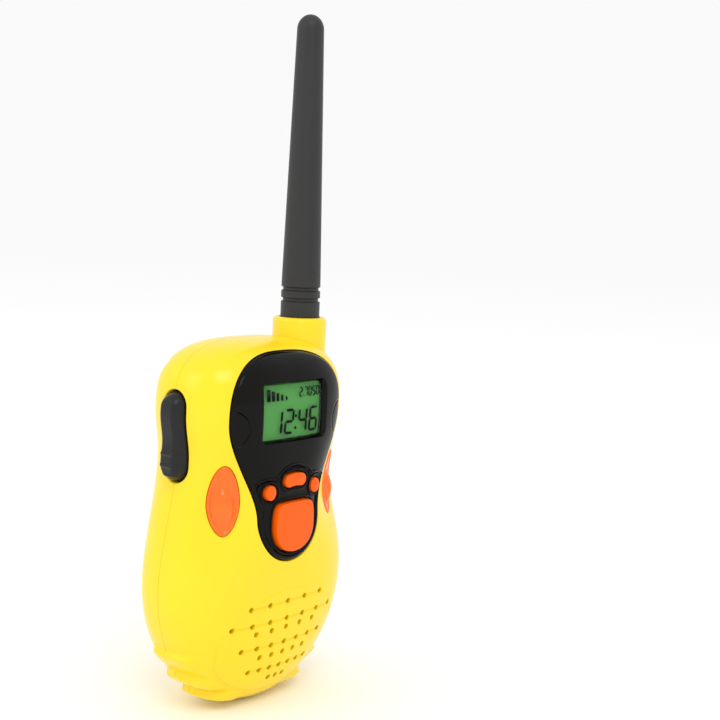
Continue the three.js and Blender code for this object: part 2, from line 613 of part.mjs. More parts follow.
const mat = prismY(roundedRectangle(-13.2, 13.2, 53, 80, 3), BOARD.front - 1.8, BOARD.front - GAP, 3);
const stemHoles = [[0, 60.6], [0, MIDDLE_KEY_Z], [-TOE.x, TOE.z], [TOE.x, TOE.z]];
part('keypad_mat', mat.subtract(union(stemHoles.map(([x, z]) => rodY(1.9, x, z, -12, -5, 10)))), GREY_RUBBER);

part('side_button_left', sideButton(-1), ORANGE_LENS);
part('side_button_right', sideButton(1), ORANGE_LENS);
part('talk_lever', talkLever(), BLACK_SATIN);
part('talk_lever_pin', rodYGeometry(TALK.pinRadius, TALK.pivotX, TALK.pivotZ, -8, 8, 12), STEEL);

part('antenna_collar', antennaCollar(), YELLOW);
part('antenna_base', antennaBase(), BLACK_RUBBER);
part('antenna_whip', antennaWhip(), BLACK_RUBBER);
part('antenna_core', rodZ(1.2, AX, 0, 99, 128.2, 10), COPPER);
part('antenna_lead',
  wire([[AX, 0, 98.6], [19.5, -2, 97.2], [16, -4.5, 96.6], [13.4, -6.3, 98]], 0.5), RED_WIRE);

const { narrow, wide, step } = BOARD;
const boardOutline = new THREE.Shape([[-narrow, BOARD.bottom], [narrow, BOARD.bottom], [narrow, step - 2],
  [wide, step], [wide, BOARD.top - 8], [narrow - 4, BOARD.top], [-narrow, BOARD.top], [-wide, BOARD.top - 3],
  [-wide, step], [-narrow, step - 2]].map(([x, z]) => new THREE.Vector2(x, z)));
const boardHoles = BOARD_SCREWS.map(([x, z]) => rodY(1.2, x, z, -12, -5, 10));
part('circuit_board', prismY(boardOutline, BOARD.front, BOARD.back).subtract(union(boardHoles)), BOARD_GREEN);

const ON_BOARD = BOARD.back + GAP; // parts on the board's back face start here
part('talk_switch', box([-21.8, ON_BOARD, 76], [-18, -1.1, 82]).add(rodX(1.6, -4.1, 79, -23.8, -21, 12)),
  BLACK_PART);
part('power_switch_body', boxGeometry([19.4, ON_BOARD, 78], [25.5, 2.5, 94]), STEEL);
part('power_slider', powerSlider(), BLACK_SATIN);
part('audio_transformer', box([-11, ON_BOARD, 81], [-1, -1, 91]).add(
  box([-9.5, -2, 82.5], [-2.5, 1.5, 89.5])), COPPER);
part('tuning_coil', turnedY([[1.2, ON_BOARD], [3, ON_BOARD], [3, -1], [1.2, -1], [1.2, ON_BOARD]], 97)
  .translate(-13, 0, 0), COPPER);
part('capacitor_1', rodYGeometry(3.0, 4.6, 84, ON_BOARD, 1.5), BLUE_CAN);
part('capacitor_2', rodYGeometry(2.4, 11.4, 82, ON_BOARD, 0), BLUE_CAN);
part('transistor_1', rodYGeometry(2.2, 4, 94, ON_BOARD, -2.6, 12), BLACK_PART);
part('transistor_2', rodYGeometry(2.2, 9.6, 92, ON_BOARD, -2.6, 12), BLACK_PART);
part('crystal', prismYGeometry(roundedRectangle(-9.5, 0.5, 95.5, 99.5, 1.99), ON_BOARD, -3.8, 4), STEEL);
for (const [name, side] of [['side_led_left', -1], ['side_led_right', 1]]) {
  const dome = [[0, -11.8], [0.8, -11.6], [1.4, -10.9], [1.5, -10.3], [1.5, BOARD.front - GAP],
    [0, BOARD.front - GAP]];
  part(name, turnedY(dome, 69.5, 12).translate(side * 15, 0, 0), LED_RED);
}

part('speaker_frame', turnedY([
  [13.2, -12.6], [16.5, -12.6], [16.5, -11.4], [14, -11.4], [10, -8.2], [3, -8.2],
  [3, -9.2], [9.4, -9.2], [13.2, -12], [13.2, -12.6]], SPEAKER_Z, 20), STEEL);
part('speaker_cone', turnedY([
  [0, -10.1], [8.3, -10.1], [12.4, -12.6], [12.9, -12.4], [12.8, -12.2], [8.6, -9.6],
  [0, -9.6]], SPEAKER_Z, 20), PAPER);
part('speaker_magnet', rodYGeometry(9, 0, SPEAKER_Z, -7.9, -4.9, 28), BLACK_PART);
for (const [name, side] of [['speaker_lead_a', -1], ['speaker_lead_b', 1]]) {
  const route = [
    [11.5 * side, -10.3, 40.5], [11.6 * side, -8.4, 44], [11.8 * side, -6.4, 48], [12 * side, -6.3, 54]];
  part(name, wire(route, 0.6), side < 0 ? RED_WIRE : BLACK_PART);
}

part('battery', battery(), BLUE_CAN);
const snapPlate = box([-12.5, 0.6, BATTERY.top + GAP], [12.5, 11.6, 69.9]);
const snapHoles = [-6.35, 6.35].map((x) => rodZ(4.1, x, 6.05, 60, 80, 14));
part('battery_snap', snapPlate.subtract(union(snapHoles)), BLACK_PART);
const batteryLeads = [['battery_lead_red', -1, RED_WIRE], ['battery_lead_black', 1, BLACK_PART]];
for (const [name, side, material] of batteryLeads) {
  const route = [[2.6 * side, 7, 70.8], [2.8 * side, 2, 71], [2.9 * side, -2.6, 71], [3 * side, -5.3, 71.6],
    [3.1 * side, -6.3, 73.5], [3.2 * side, -6.4, 77.5]];
  part(name, wire(route, 0.5), material);
}

const doorOutline = roundedRectangle(
  -DOOR.halfWidth, DOOR.halfWidth, DOOR.bottom, DOOR.top, DOOR.corner - GAP);
const doorScrewHole = rodY(1.4, 0, DOOR.screwZ, 0, FAR, 10).add(rodY(2.6, 0, DOOR.screwZ, 18.6, FAR, 12));
const door = prismY(doorOutline, 3, FAR, 3).intersect(layer(0, DOOR.thickness)).subtract(doorScrewHole);
part('battery_door', door, YELLOW);
part('battery_door_screw', crossScrew(0, DOOR.screwZ, 2.2, 18.9, 1.2, 0.9, 11), STEEL);

SHELL_SCREWS.forEach(([x, z], i) => {
  const { head, seat, headHeight, shank, tip } = SCREW;
  part(`shell_screw_${i + 1}`, crossScrew(x, z, head, seat, headHeight, shank, tip), STEEL);
});
BOARD_SCREWS.forEach(([x, z], i) => {
  part(`board_screw_${i + 1}`, crossScrew(x, z, 1.9, ON_BOARD, 1.4, 0.9, -13.2), STEEL);
});

part('belt_clip_base', clipBase(), BLACK_SATIN);
part('belt_clip_tongue', clipTongue(), BLACK_SATIN);
part('belt_clip_screw', crossScrew(0, CLIP.screwZ, 2.2, CLIP.inner - 1.1, 1.6, 1.0, 10), STEEL);

group.position.z = -FLOOR_Z;

export default group;
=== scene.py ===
"""The looks of a toy walkie talkie: moulded shells, gloss face plate, keys, talk lever, antenna and back.

Lengths are millimetres in the row frame until a mesh is written, which happens in metres.
"""
import math

import bmesh
import bpy
import numpy as np
from mathutils import Matrix, Vector
from mathutils.geometry import delaunay_2d_cdt


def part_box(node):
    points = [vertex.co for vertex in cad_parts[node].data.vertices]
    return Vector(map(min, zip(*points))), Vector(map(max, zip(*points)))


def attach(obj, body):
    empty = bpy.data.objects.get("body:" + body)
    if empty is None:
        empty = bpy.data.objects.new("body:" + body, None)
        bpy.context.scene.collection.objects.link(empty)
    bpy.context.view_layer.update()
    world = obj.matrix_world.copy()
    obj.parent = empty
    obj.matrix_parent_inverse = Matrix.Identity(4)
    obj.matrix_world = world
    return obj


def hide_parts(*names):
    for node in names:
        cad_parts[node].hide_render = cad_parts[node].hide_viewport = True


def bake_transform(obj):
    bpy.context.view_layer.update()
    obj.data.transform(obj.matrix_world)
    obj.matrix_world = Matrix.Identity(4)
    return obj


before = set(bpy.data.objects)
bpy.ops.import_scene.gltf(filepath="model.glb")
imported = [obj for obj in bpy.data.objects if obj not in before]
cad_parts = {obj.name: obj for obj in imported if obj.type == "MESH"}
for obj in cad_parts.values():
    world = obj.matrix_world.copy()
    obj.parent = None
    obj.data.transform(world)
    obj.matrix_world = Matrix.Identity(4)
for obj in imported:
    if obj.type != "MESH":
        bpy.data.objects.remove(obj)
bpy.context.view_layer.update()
MM = 0.001


def box_of(node):
    """A CAD node's lowest and highest corner, in millimetres."""
    low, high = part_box(node)
    return np.array(low) / MM, np.array(high) / MM


# ---------------------------------------------------------------- driving dimensions
SHELL_HIGH = box_of("front_shell")[1]
DEPTH = box_of("back_shell")[1][1]
GAP = 0.3
WALL = 2.0
LOW_Z, LOW_HALF = 39.0, SHELL_HIGH[0]
WAIST_Z, WAIST_HALF = 79.0, 29.8
HEAD_Z, HEAD_HALF = 91.5, 31.3
TOP_Z, TOP_POWER = SHELL_HIGH[2], 2.95
BOTTOM_Z, BOTTOM_POWER = -0.6, 2.0
WIDTH_POWER, DEPTH_POWER = 3.06, 2.37
DROP_Z, DROP = 72.5, 1.7
SCOOP_Z, SCOOP_SPREAD, SCOOP = 64.5, 13.0, 0.28

# Chin ribs: angle of the upper step from straight down, its turn towards the front end, height, length,
# and how far they run to the front and to the back.
RIBS = (
    (64.0, 3.0, 1.5, 11.0, 10.0, 7.5),
    (51.0, 8.0, 1.8, 12.0, 10.6, 7.0),
    (38.5, 12.0, 2.2, 15.0, 10.8, 6.5))
RIB_STEP, RIB_END = 2.2, 2.8

X, Y, Z = np.eye(3)


def smooth(value):
    u = np.clip(value, 0, 1)
    return u * u * (3 - 2 * u)


def bump(distance, width):
    """A round bump across a line: one on the line, nothing a few widths away."""
    return np.exp(-((distance / width) ** 2))


# ---------------------------------------------------------------- body form
def half_width(z):
    to_waist = smooth((z - LOW_Z) / (WAIST_Z - LOW_Z))
    to_head = smooth((z - WAIST_Z) / (HEAD_Z - WAIST_Z))
    return LOW_HALF + (WAIST_HALF - LOW_HALF) * to_waist + (HEAD_HALF - WAIST_HALF) * to_head


def front_depth(z):
    return DEPTH - DROP * np.clip((DROP_Z - z) / (DROP_Z - BOTTOM_Z), 0, 1) ** 2


def scoop(z):
    return SCOOP * np.exp(-(((z - SCOOP_Z) / SCOOP_SPREAD) ** 2))


def field(points):
    """Below zero inside the body, zero on its skin."""
    x, y, z = points.T
    above = z > HEAD_Z
    under = np.clip((LOW_Z - z) / (LOW_Z - BOTTOM_Z), 0, None)
    reach = np.where(above, (z - HEAD_Z) / (TOP_Z - HEAD_Z), under)
    power = np.where(above, TOP_POWER, BOTTOM_POWER)
    half = half_width(np.clip(z, LOW_Z, HEAD_Z))
    share = ((np.abs(x) / half) ** power + reach**power) ** (1 / power)
    across = share**WIDTH_POWER
    corner = np.clip(across, 0, 1)
    front = front_depth(z) * (1 - scoop(z) * 4 * corner * (1 - corner))
    return across + (np.abs(y) / np.where(y < 0, front, DEPTH)) ** DEPTH_POWER - 1


def gradient(points, step=1e-3):
    slopes = [(field(points + step * a) - field(points - step * a)) / (2 * step) for a in (X, Y, Z)]
    return np.stack(slopes, 1)


def unit(vectors):
    return vectors / np.linalg.norm(vectors, axis=-1, keepdims=True)


def rib_height(points):
    """How far the chin's ribs stand out: a step on the upper side that fades away below."""
    x, y, z = points.T
    down = np.degrees(np.arctan2(np.abs(x) / LOW_HALF, (LOW_Z - z) / (LOW_Z - BOTTOM_Z)))
    height = np.zeros(len(points))
    for angle, turn, proud, length, ahead, behind in RIBS:
        reach = np.where(y < 0, ahead, behind)
        below = angle - turn * np.abs(y / ahead) ** 1.6 - down
        lobe = smooth(below / RIB_STEP) * (1 - smooth((below - RIB_STEP) / length)) ** 0.7
        height = np.maximum(height, proud * lobe * (1 - smooth((np.abs(y) - reach + RIB_END) / RIB_END)))
    return height


def skin_gap(points):
    """Distance from the skin with its ribs, in millimetres, good close to the skin."""
    steep = np.maximum(np.linalg.norm(gradient(points), axis=1), 1e-6)
    return field(points) / steep - rib_height(points)


def outline(inset):
    """Points round the body seen from the front: x, z and the height of the spine behind each."""
    def cap(half, start, reach, power, angles):
        c, s = np.cos(angles), np.sin(angles)
        r = (np.abs(c) ** power + np.abs(s) ** power) ** (-1 / power)
        return np.stack([half * c * r, start + reach * np.abs(s) * r, np.full(len(angles), start)], 1)

    rise = np.linspace(LOW_Z, HEAD_Z, 54)
    side = np.stack([half_width(rise) - inset, rise, rise], 1)
    top = cap(HEAD_HALF - inset, HEAD_Z, TOP_Z - HEAD_Z - inset, TOP_POWER, np.linspace(0, np.pi, 81))
    chin = cap(LOW_HALF - inset, LOW_Z, BOTTOM_Z - LOW_Z + inset, BOTTOM_POWER,
               np.linspace(np.pi, 2 * np.pi, 301))
    return np.vstack([side[:-1], top[:-1], side[:0:-1] * [-1, 1, 1], chin[:-1]])


def shell_form(sign):
    """One half of the casing: -1 is the front. Rings run from the spine out to the rim and back inside."""
    outside = [(math.cos(t) ** 2, 0, None) for t in np.linspace(0, math.pi / 2, 52)[:-4]]
    rim_profile = ((1.3, 0), (0.8, 0), (0.45, 0), (0.26, 0.01), (0.15, 0.03), (0.08, 0.08), (0.04, 0.16))
    rim = [((y / DEPTH) ** DEPTH_POWER, inset, y) for y, inset in rim_profile]
    inside = [(math.cos(t) ** 2, WALL, None) for t in np.linspace(math.pi / 2, 0, 15)[1:]]
    rings = []
    for cos2, inset, height in outside + rim + [(1e-9, WALL, 0.04)] + inside:
        edge = outline(inset)
        sin2 = 1 - cos2
        share = sin2 ** (1 / WIDTH_POWER)
        x = edge[:, 0] * share
        z = edge[:, 2] + (edge[:, 1] - edge[:, 2]) * share
        if height is None:
            full = front_depth(z) * (1 - scoop(z) * 4 * sin2 * cos2) if sign < 0 else np.full(len(z), DEPTH)
            height = (full - inset) * cos2 ** (1 / DEPTH_POWER)
        ring = np.stack([x, sign * height * np.ones(len(x)), z], 1)
        if inset < WALL:
            ring += unit(gradient(ring)) * rib_height(ring)[:, None]
            ring[:, 2] = np.maximum(ring[:, 2], 0)
        rings.append(ring)
    return stack(rings)


# ---------------------------------------------------------------- mesh building
def stack(rings, caps=False):
    """Points and quads through closed rings of equal length."""
    count = len(rings[0])
    around = np.arange(count)
    faces = []
    for level in range(len(rings) - 1):
        a = level * count + around
        b = level * count + (around + 1) % count
        faces += np.stack([a, b, b + count, a + count], 1).tolist()
    if caps:
        faces.append(around[::-1].tolist())
        faces.append(((len(rings) - 1) * count + around).tolist())
    return np.vstack(rings), faces


def join(parts):
    """Several points-and-faces pairs as one."""
    points, faces, start = [], [], 0
    for part_points, part_faces in parts:
        points.append(part_points)
        faces += [[start + i for i in face] for face in part_faces]
        start += len(part_points)
    return np.vstack(points), faces


def mesh_object(name, form):
    points, faces = form
    mesh = bpy.data.meshes.new(name)
    mesh.from_pydata((points * MM).tolist(), [], faces)
    work = bmesh.new()
    work.from_mesh(mesh)
    bmesh.ops.remove_doubles(work, verts=work.verts, dist=2e-7)
    bmesh.ops.recalc_face_normals(work, faces=work.faces)
    work.to_mesh(mesh)
    work.free()
    piece = bpy.data.objects.new(name, mesh)
    bpy.context.scene.collection.objects.link(piece)
    return piece


def boolean(piece, cutter_form, operation="DIFFERENCE"):
    """Cut or join a closed form, keeping the piece's own object."""
    cutter = mesh_object("cutter", cutter_form)
    modifier = piece.modifiers.new("boolean", "BOOLEAN")
    modifier.object = cutter
    modifier.operation = operation
    modifier.solver = "MANIFOLD"
    before = len(piece.data.vertices)
    evaluated = piece.evaluated_get(bpy.context.evaluated_depsgraph_get())
    result = bpy.data.meshes.new_from_object(evaluated)
    piece.modifiers.clear()
    if len(result.vertices) == before:
        raise RuntimeError(f"{piece.name}: a {operation.lower()} did nothing")
    piece.data = result
    bpy.data.objects.remove(cutter)


def shade(piece, angle=32, on_skin=False, exact=None):
    """Smooth shading with sharp edges past the angle. Faces on the body's skin and its ribs take their
    true normals, and exact gives known normals for the first vertices of a sheet."""
    mesh = piece.data
    mesh.polygons.foreach_set("use_smooth", np.ones(len(mesh.polygons), bool))
    mesh.set_sharp_from_angle(angle=math.radians(angle))
    if not on_skin and exact is None:
        return
    count = len(mesh.loops)
    normals = np.empty(count * 3)
    mesh.corner_normals.foreach_get("vector", normals)
    normals = normals.reshape(-1, 3)
    corner = np.empty(count, int)
    mesh.loops.foreach_get("vertex_index", corner)
    points = np.empty(len(mesh.vertices) * 3)
    mesh.vertices.foreach_get("co", points)
    points = points.reshape(-1, 3) / MM
    flat = np.empty(len(mesh.polygons) * 3)
    mesh.polygons.foreach_get("normal", flat)
    sizes = np.empty(len(mesh.polygons), int)
    mesh.polygons.foreach_get("loop_total", sizes)
    flat = np.repeat(flat.reshape(-1, 3), sizes, axis=0)
    if on_skin:
        near = np.abs(skin_gap(points)) < 0.06
        steps = 0.02 * np.eye(3)
        known = unit(np.stack([skin_gap(points + step) - skin_gap(points - step) for step in steps], 1))
    else:
        near = np.arange(len(points)) < len(exact)
        known = np.vstack([exact, np.tile(Z, (len(points) - len(exact), 1))])
    agree = near[corner] & (np.sum(known[corner] * flat, axis=1) > math.cos(math.radians(28)))
    normals[agree] = known[corner][agree]
    mesh.normals_split_custom_set(normals.tolist())


def resample(points, spacing):
    """A closed line with even steps."""
    closed = np.vstack([points, points[:1]])
    length = np.concatenate([[0], np.cumsum(np.linalg.norm(np.diff(closed, axis=0), axis=1))])
    at = np.linspace(0, length[-1], max(12, round(length[-1] / spacing)), endpoint=False)
    return np.stack([np.interp(at, length, closed[:, i]) for i in range(2)], 1)


def offset(points, grow):
    """A closed anticlockwise outline moved outwards."""
    ahead, behind = np.roll(points, -1, 0), np.roll(points, 1, 0)
    tangent = unit(ahead - behind)
    return points + grow * np.stack([tangent[:, 1], -tangent[:, 0]], 1)


def distance(points, loop):
    """How far each point lies from a closed line."""
    a, b = loop, np.roll(loop, -1, 0)
    along = b - a
    length = np.sum(along**2, axis=1)
    result = np.empty(len(points))
    for start in range(0, len(points), 4000):
        part = points[start:start + 4000, None]
        t = np.clip(np.sum((part - a) * along, axis=2) / length, 0, 1)
        gap = part - a - t[..., None] * along
        result[start:start + 4000] = np.sqrt(np.min(np.sum(gap**2, axis=2), axis=1))
    return result


def inside(points, loop):
    """Whether each point is inside a closed line."""
    result = np.zeros(len(points), bool)
    for a, b in zip(loop, np.roll(loop, -1, 0)):
        crosses = (a[1] > points[:, 1]) != (b[1] > points[:, 1])
        if a[1] != b[1]:
            result ^= crosses & (points[:, 0] < a[0] + (points[:, 1] - a[1]) * (b[0] - a[0]) / (b[1] - a[1]))
    return result


def arc(centre, radius, start, end, steps=24):
    angle = np.radians(np.linspace(start, end, steps))
    return np.stack([centre[0] + radius * np.cos(angle), centre[1] + radius * np.sin(angle)], 1)


def rounded_rectangle(x0, x1, z0, z1, corner):
    corners = ((x1, z0, -90), (x1, z1, 0), (x0, z1, 90), (x0, z0, 180))
    parts = []
    for x, z, start in corners:
        centre = (x - math.copysign(corner, x - (x0 + x1) / 2), z - math.copysign(corner, z - (z0 + z1) / 2))
        parts.append(arc(centre, corner, start, start + 90, 10))
    return np.vstack(parts)


def circle(radius, sides=24, centre=(0, 0)):
    return arc(centre, radius, 0, 360 - 360 / sides, sides)


def ellipse(x, z, half_x, half_z, sides=64):
    return circle(1, sides) * [half_x, half_z] + [x, z]


class Face:
    """A drawing plane: u and v lie in it, and heights go outwards from its origin."""

    def __init__(self, origin, u, out):
        self.origin, self.u, self.out = np.array(origin, float), np.array(u, float), np.array(out, float)

    def place(self, uv, height):
        height = np.broadcast_to(height, len(uv))[:, None]
        return self.origin + uv[:, :1] * self.u + uv[:, 1:] * Z + height * self.out

    def skin(self, uv):
        """The height at which the body's skin lies over each point."""
        low, high = np.zeros(len(uv)), np.full(len(uv), 45.0)
        for _ in range(34):
            middle = (low + high) / 2
            within = field(self.place(uv, middle)) < 0
            low, high = np.where(within, middle, low), np.where(within, high, middle)
        return (low + high) / 2


FRONT = Face((0, 0, 0), X, -Y)
BACK = Face((0, 0, 0), X, Y)


def lip_cutter(face, loop, radius, floor, flare=2.0):
    """A cutter for a hole whose edge is rounded where it meets the skin. The floor is a height on the face,
    and the flare is how far the cutter's mouth spreads just above the skin."""
    skin = face.skin(loop)
    first = math.radians(15)
    levels = [(offset(loop, radius + flare), face.skin(offset(loop, radius + flare)) + 0.8)]
    for turn in np.linspace(first, math.pi / 2, 6):
        ring = offset(loop, radius * (1 - math.sin(turn)))
        levels.append((ring, face.skin(ring) - radius * (1 - math.cos(turn))))
    levels.insert(0, (levels[0][0], np.full(len(loop), skin.max() + 6)))
    levels.append((loop, np.full(len(loop), floor)))
    return stack([face.place(ring, height) for ring, height in levels], caps=True)


def rod(face, line, radius, sunk, closed=False):
    """A round rod along a line on the skin: its lowest side is sunk that deep."""
    points = face.place(line, face.skin(line) + radius - sunk)
    if closed:
        along = unit(np.roll(points, -1, 0) - np.roll(points, 1, 0))
    else:
        along = unit(np.gradient(points, axis=0))
    across = unit(np.cross(along, face.out))
    up = np.cross(across, along)
    rings = []
    for i, point in enumerate(points):
        turn = np.radians(np.arange(0, 360, 36))
        rings.append(point + radius * (np.outer(np.cos(turn), across[i]) + np.outer(np.sin(turn), up[i])))
    if closed:
        return stack([*rings, rings[0]])
    return stack(rings, caps=True)


def sheet(face, loops, guides, spacing, front, back):
    """A closed sheet over the area inside the first loop and outside the others. Guides are points that
    the mesh has to pass through. Returns the form and the normals of its front vertices."""
    def region(points):
        keep = inside(points, loops[0])
        for hole in loops[1:]:
            keep &= ~inside(points, hole)
        return keep

    guide = np.vstack(guides) if guides else np.empty((0, 2))
    guide = guide[region(guide)]
    edge = np.vstack(loops)
    cell = spacing * 0.75
    def cells(points):
        return {tuple(c) for c in np.round(points / cell).astype(int)}
    taken = cells(edge) | cells(guide)
    low, high = loops[0].min(0), loops[0].max(0)
    axes = [np.arange(a + spacing / 2, b, spacing) for a, b in zip(low, high)]
    grid = np.stack(np.meshgrid(*axes), -1).reshape(-1, 2)
    grid[:, 0] += np.where(np.round((grid[:, 1] - low[1]) / spacing) % 2, spacing / 2, 0)
    clear = np.min([distance(grid, loop) for loop in loops], axis=0) > spacing * 0.4
    grid = grid[region(grid) & clear]
    free = [tuple(c) not in taken for c in np.round(grid / cell).astype(int)]
    points = np.vstack([edge, guide, grid[free]])
    edges, start = [], 0
    for loop in loops:
        edges += [(start + i, start + (i + 1) % len(loop)) for i in range(len(loop))]
        start += len(loop)
    vertices, _, triangles, origins, _, _ = delaunay_2d_cdt([Vector(p) for p in points], edges, [], 0, 1e-5)
    flat = np.array([tuple(v) for v in vertices])
    triangles = np.array(triangles)
    triangles = triangles[region(flat[triangles].mean(1))]
    found = {origin: i for i, group in enumerate(origins) for origin in group}
    count = len(flat)
    faces = triangles.tolist() + (triangles[:, ::-1] + count).tolist()
    for a, b in edges:
        faces.append([found[a], found[b], found[b] + count, found[a] + count])
    form = np.vstack([face.place(flat, front(flat)), face.place(flat, back(flat))])
    step = 0.01
    slope_u = (front(flat + [step, 0]) - front(flat - [step, 0])) / (2 * step)
    slope_v = (front(flat + [0, step]) - front(flat - [0, step])) / (2 * step)
    normals = unit(face.out - slope_u[:, None] * face.u - slope_v[:, None] * Z)
    return (form, faces), normals


def rounded(gap, radius):
    """How far a rounded edge drops at some distance inside it."""
    within = np.clip(radius - gap, 0, radius)
    return radius - np.sqrt(np.maximum(radius**2 - within**2, 0))


def sheet_piece(name, face, loops, guides, spacing, front, back):
    """A sheet as a piece of its own, shaded with its front's true normals."""
    form, normals = sheet(face, loops, guides, spacing, front, back)
    piece = mesh_object(name, form)
    shade(piece, exact=normals)
    return piece


def inset_lines(loop, spacing, insets):
    """Guides for a sheet: lines along a loop, at each distance inside it. Below zero is outside."""
    return [resample(offset(loop, -inset), spacing) for inset in insets]


def rounded_top(top, edge):
    """The last levels of a pad: a rounded edge up to its top."""
    turns = np.linspace(0, math.pi / 2, 7)[1:]
    return [(-edge * (1 - math.cos(t)), top - edge * (1 - math.sin(t))) for t in turns]


def pad(face, loop, levels, crown=0.0):
    """A key or a block: rings of (grow, height) from the bottom up, closed by a slightly crowned top."""
    rings = [face.place(offset(loop, grow), height) for grow, height in levels]
    top, height = offset(loop, levels[-1][0]), levels[-1][1]
    centre = top.mean(0)
    for scale in (0.9, 0.75, 0.55, 0.35, 0.15):
        rings.append(face.place(centre + (top - centre) * scale, height + crown * (1 - scale**2)))
    return stack(rings, caps=True)


def turned(profile, centre, axis=Z, sides=64):
    """A profile of (radius, height) points turned about an axis."""
    u = X if axis is not X else Y
    v = np.cross(axis, u)
    angle = np.linspace(0, 2 * np.pi, sides, endpoint=False)
    round_ = np.outer(np.cos(angle), u) + np.outer(np.sin(angle), v)
    rings = [np.array(centre) + radius * round_ + height * axis for radius, height in profile]
    return stack(rings, caps=True)


# ---------------------------------------------------------------- materials
def linear(*rgb):
    """An 8-bit sRGB colour as linear values."""
    return [c / 255 / 12.92 if c <= 10 else ((c / 255 + 0.055) / 1.055) ** 2.4 for c in rgb] + [1.0]


def material(name, colour, rough, grain=900, relief=0.05, shade_to=0.9, spread=0.06, **sockets):
    """A moulded or made surface: slow colour drift, patchy gloss and a fine relief, all from noise.
    Grain is in cells per metre, relief in millimetres."""
    made = bpy.data.materials.new(name)
    made.use_nodes = True
    nodes, links = made.node_tree.nodes, made.node_tree.links
    shader = nodes["Principled BSDF"]
    place = nodes.new("ShaderNodeTexCoord").outputs["Object"]

    def noise(scale, detail):
        node = nodes.new("ShaderNodeTexNoise")
        node.inputs["Scale"].default_value = scale
        node.inputs["Detail"].default_value = detail
        links.new(place, node.inputs["Vector"])
        return node.outputs["Fac"]

    drift = nodes.new("ShaderNodeValToRGB")
    drift.color_ramp.elements[0].position = 0.3
    drift.color_ramp.elements[0].color = [c * shade_to for c in linear(*colour)[:3]] + [1]
    drift.color_ramp.elements[1].position = 0.62
    drift.color_ramp.elements[1].color = linear(*colour)
    links.new(noise(32, 3), drift.inputs["Fac"])
    links.new(drift.outputs["Color"], shader.inputs["Base Color"])
    gloss = nodes.new("ShaderNodeMapRange")
    gloss.inputs["To Min"].default_value = max(0.02, rough - spread)
    gloss.inputs["To Max"].default_value = min(1, rough + spread)
    links.new(noise(grain / 6, 4), gloss.inputs["Value"])
    links.new(gloss.outputs["Result"], shader.inputs["Roughness"])
    raised = nodes.new("ShaderNodeBump")
    raised.inputs["Strength"].default_value = 0.5
    raised.inputs["Distance"].default_value = relief * MM
    links.new(noise(grain, 2), raised.inputs["Height"])
    links.new(raised.outputs["Normal"], shader.inputs["Normal"])
    for socket, value in sockets.items():
        shader.inputs[socket.replace("_", " ")].default_value = value
    return made


YELLOW = material("yellow_abs", (255, 221, 30), 0.24, 500, 0.012, 0.97, 0.04, Specular_IOR_Level=0.4)
GLOSS = material("black_gloss", (12, 11, 9), 0.09, 240, 0.004, 0.8, 0.03, Specular_IOR_Level=0.13)
SATIN = material("black_satin", (27, 26, 26), 0.3, 1400, 0.02, 0.85, Specular_IOR_Level=0.3)
RUBBER = material("black_rubber", (38, 38, 38), 0.5, 2200, 0.03, 0.85, Specular_IOR_Level=0.45)
ORANGE = material("orange_keys", (255, 98, 4), 0.2, 420, 0.006, 0.94, 0.04, Specular_IOR_Level=0.2)
LENS = material("orange_lens", (255, 112, 4), 0.1, 300, 0.006, 0.9, 0.03, Subsurface_Weight=0.1,
                Subsurface_Radius=(0.003, 0.0012, 0.0003), Specular_IOR_Level=0.5)
GREEN = material("display_green", (60, 148, 50), 0.6, 1600, 0.006, 0.93, Specular_IOR_Level=0.2)
INK = material("display_ink", (6, 8, 5), 0.6, 1600, 0.004, 0.8, Specular_IOR_Level=0.1)
CLEAR = material("clear_window", (205, 235, 205), 0.05, 200, 0.002, 0.97, 0.02, Alpha=0.04,
                 Specular_IOR_Level=0.2)
STEEL = material("steel", (178, 180, 182), 0.3, 2600, 0.02, 0.85, 0.1, Metallic=1.0)
COPPER = material("copper", (190, 110, 60), 0.35, 3000, 0.03, 0.8, 0.1, Metallic=1.0)
PAPER = material("paper_cone", (40, 38, 34), 0.9, 3000, 0.08, 0.7)
GREY = material("grey_rubber", (140, 142, 138), 0.75, 1800, 0.05, 0.88)
LAMINATE = material("circuit_laminate", (30, 104, 56), 0.45, 1200, 0.03, 0.75)
COMPONENT = material("black_component", (30, 30, 30), 0.5, 2600, 0.04, 0.8)
SLEEVE = material("blue_sleeve", (40, 60, 118), 0.35, 700, 0.02, 0.85)
LED = material("led_red", (222, 38, 22), 0.12, 300, 0.004, 0.9)
RED_WIRE = material("wire_red", (192, 26, 26), 0.45, 1500, 0.02, 0.85)
BLACK_WIRE = material("wire_black", (26, 26, 26), 0.45, 1500, 0.02, 0.85)


def finish(piece, body, nodes, surface):
    """Hand a finished piece to its body, in the finish of its slot."""
    piece.data.materials.clear()
    piece.data.materials.append(surface)
    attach(piece, body)
    if nodes:
        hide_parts(*nodes)
    return piece


# ---------------------------------------------------------------- outlines on the face
PLATE_LOW, PLATE_HIGH = box_of("faceplate")
PLATE_HALF, PLATE_BOTTOM, PLATE_TOP = PLATE_HIGH[0], PLATE_LOW[2], PLATE_HIGH[2]
BOWL_Z, BOWL_HALF, SHOULDER_Z, CROWN_POWER = 60.5, 12.9, 90.5, 2.7
WINDOW_LOW, WINDOW_HIGH = box_of("display_window")
DISPLAY_HALF = WINDOW_HIGH[0] - 1.6
DISPLAY_BOTTOM, DISPLAY_TOP = WINDOW_LOW[2] + 1.6, WINDOW_HIGH[2] - 1.6


def mirrored(right):
    left = right[np.abs(right[:, 0]) > 0.01] * [-1, 1]
    return np.vstack([right, left[::-1]])


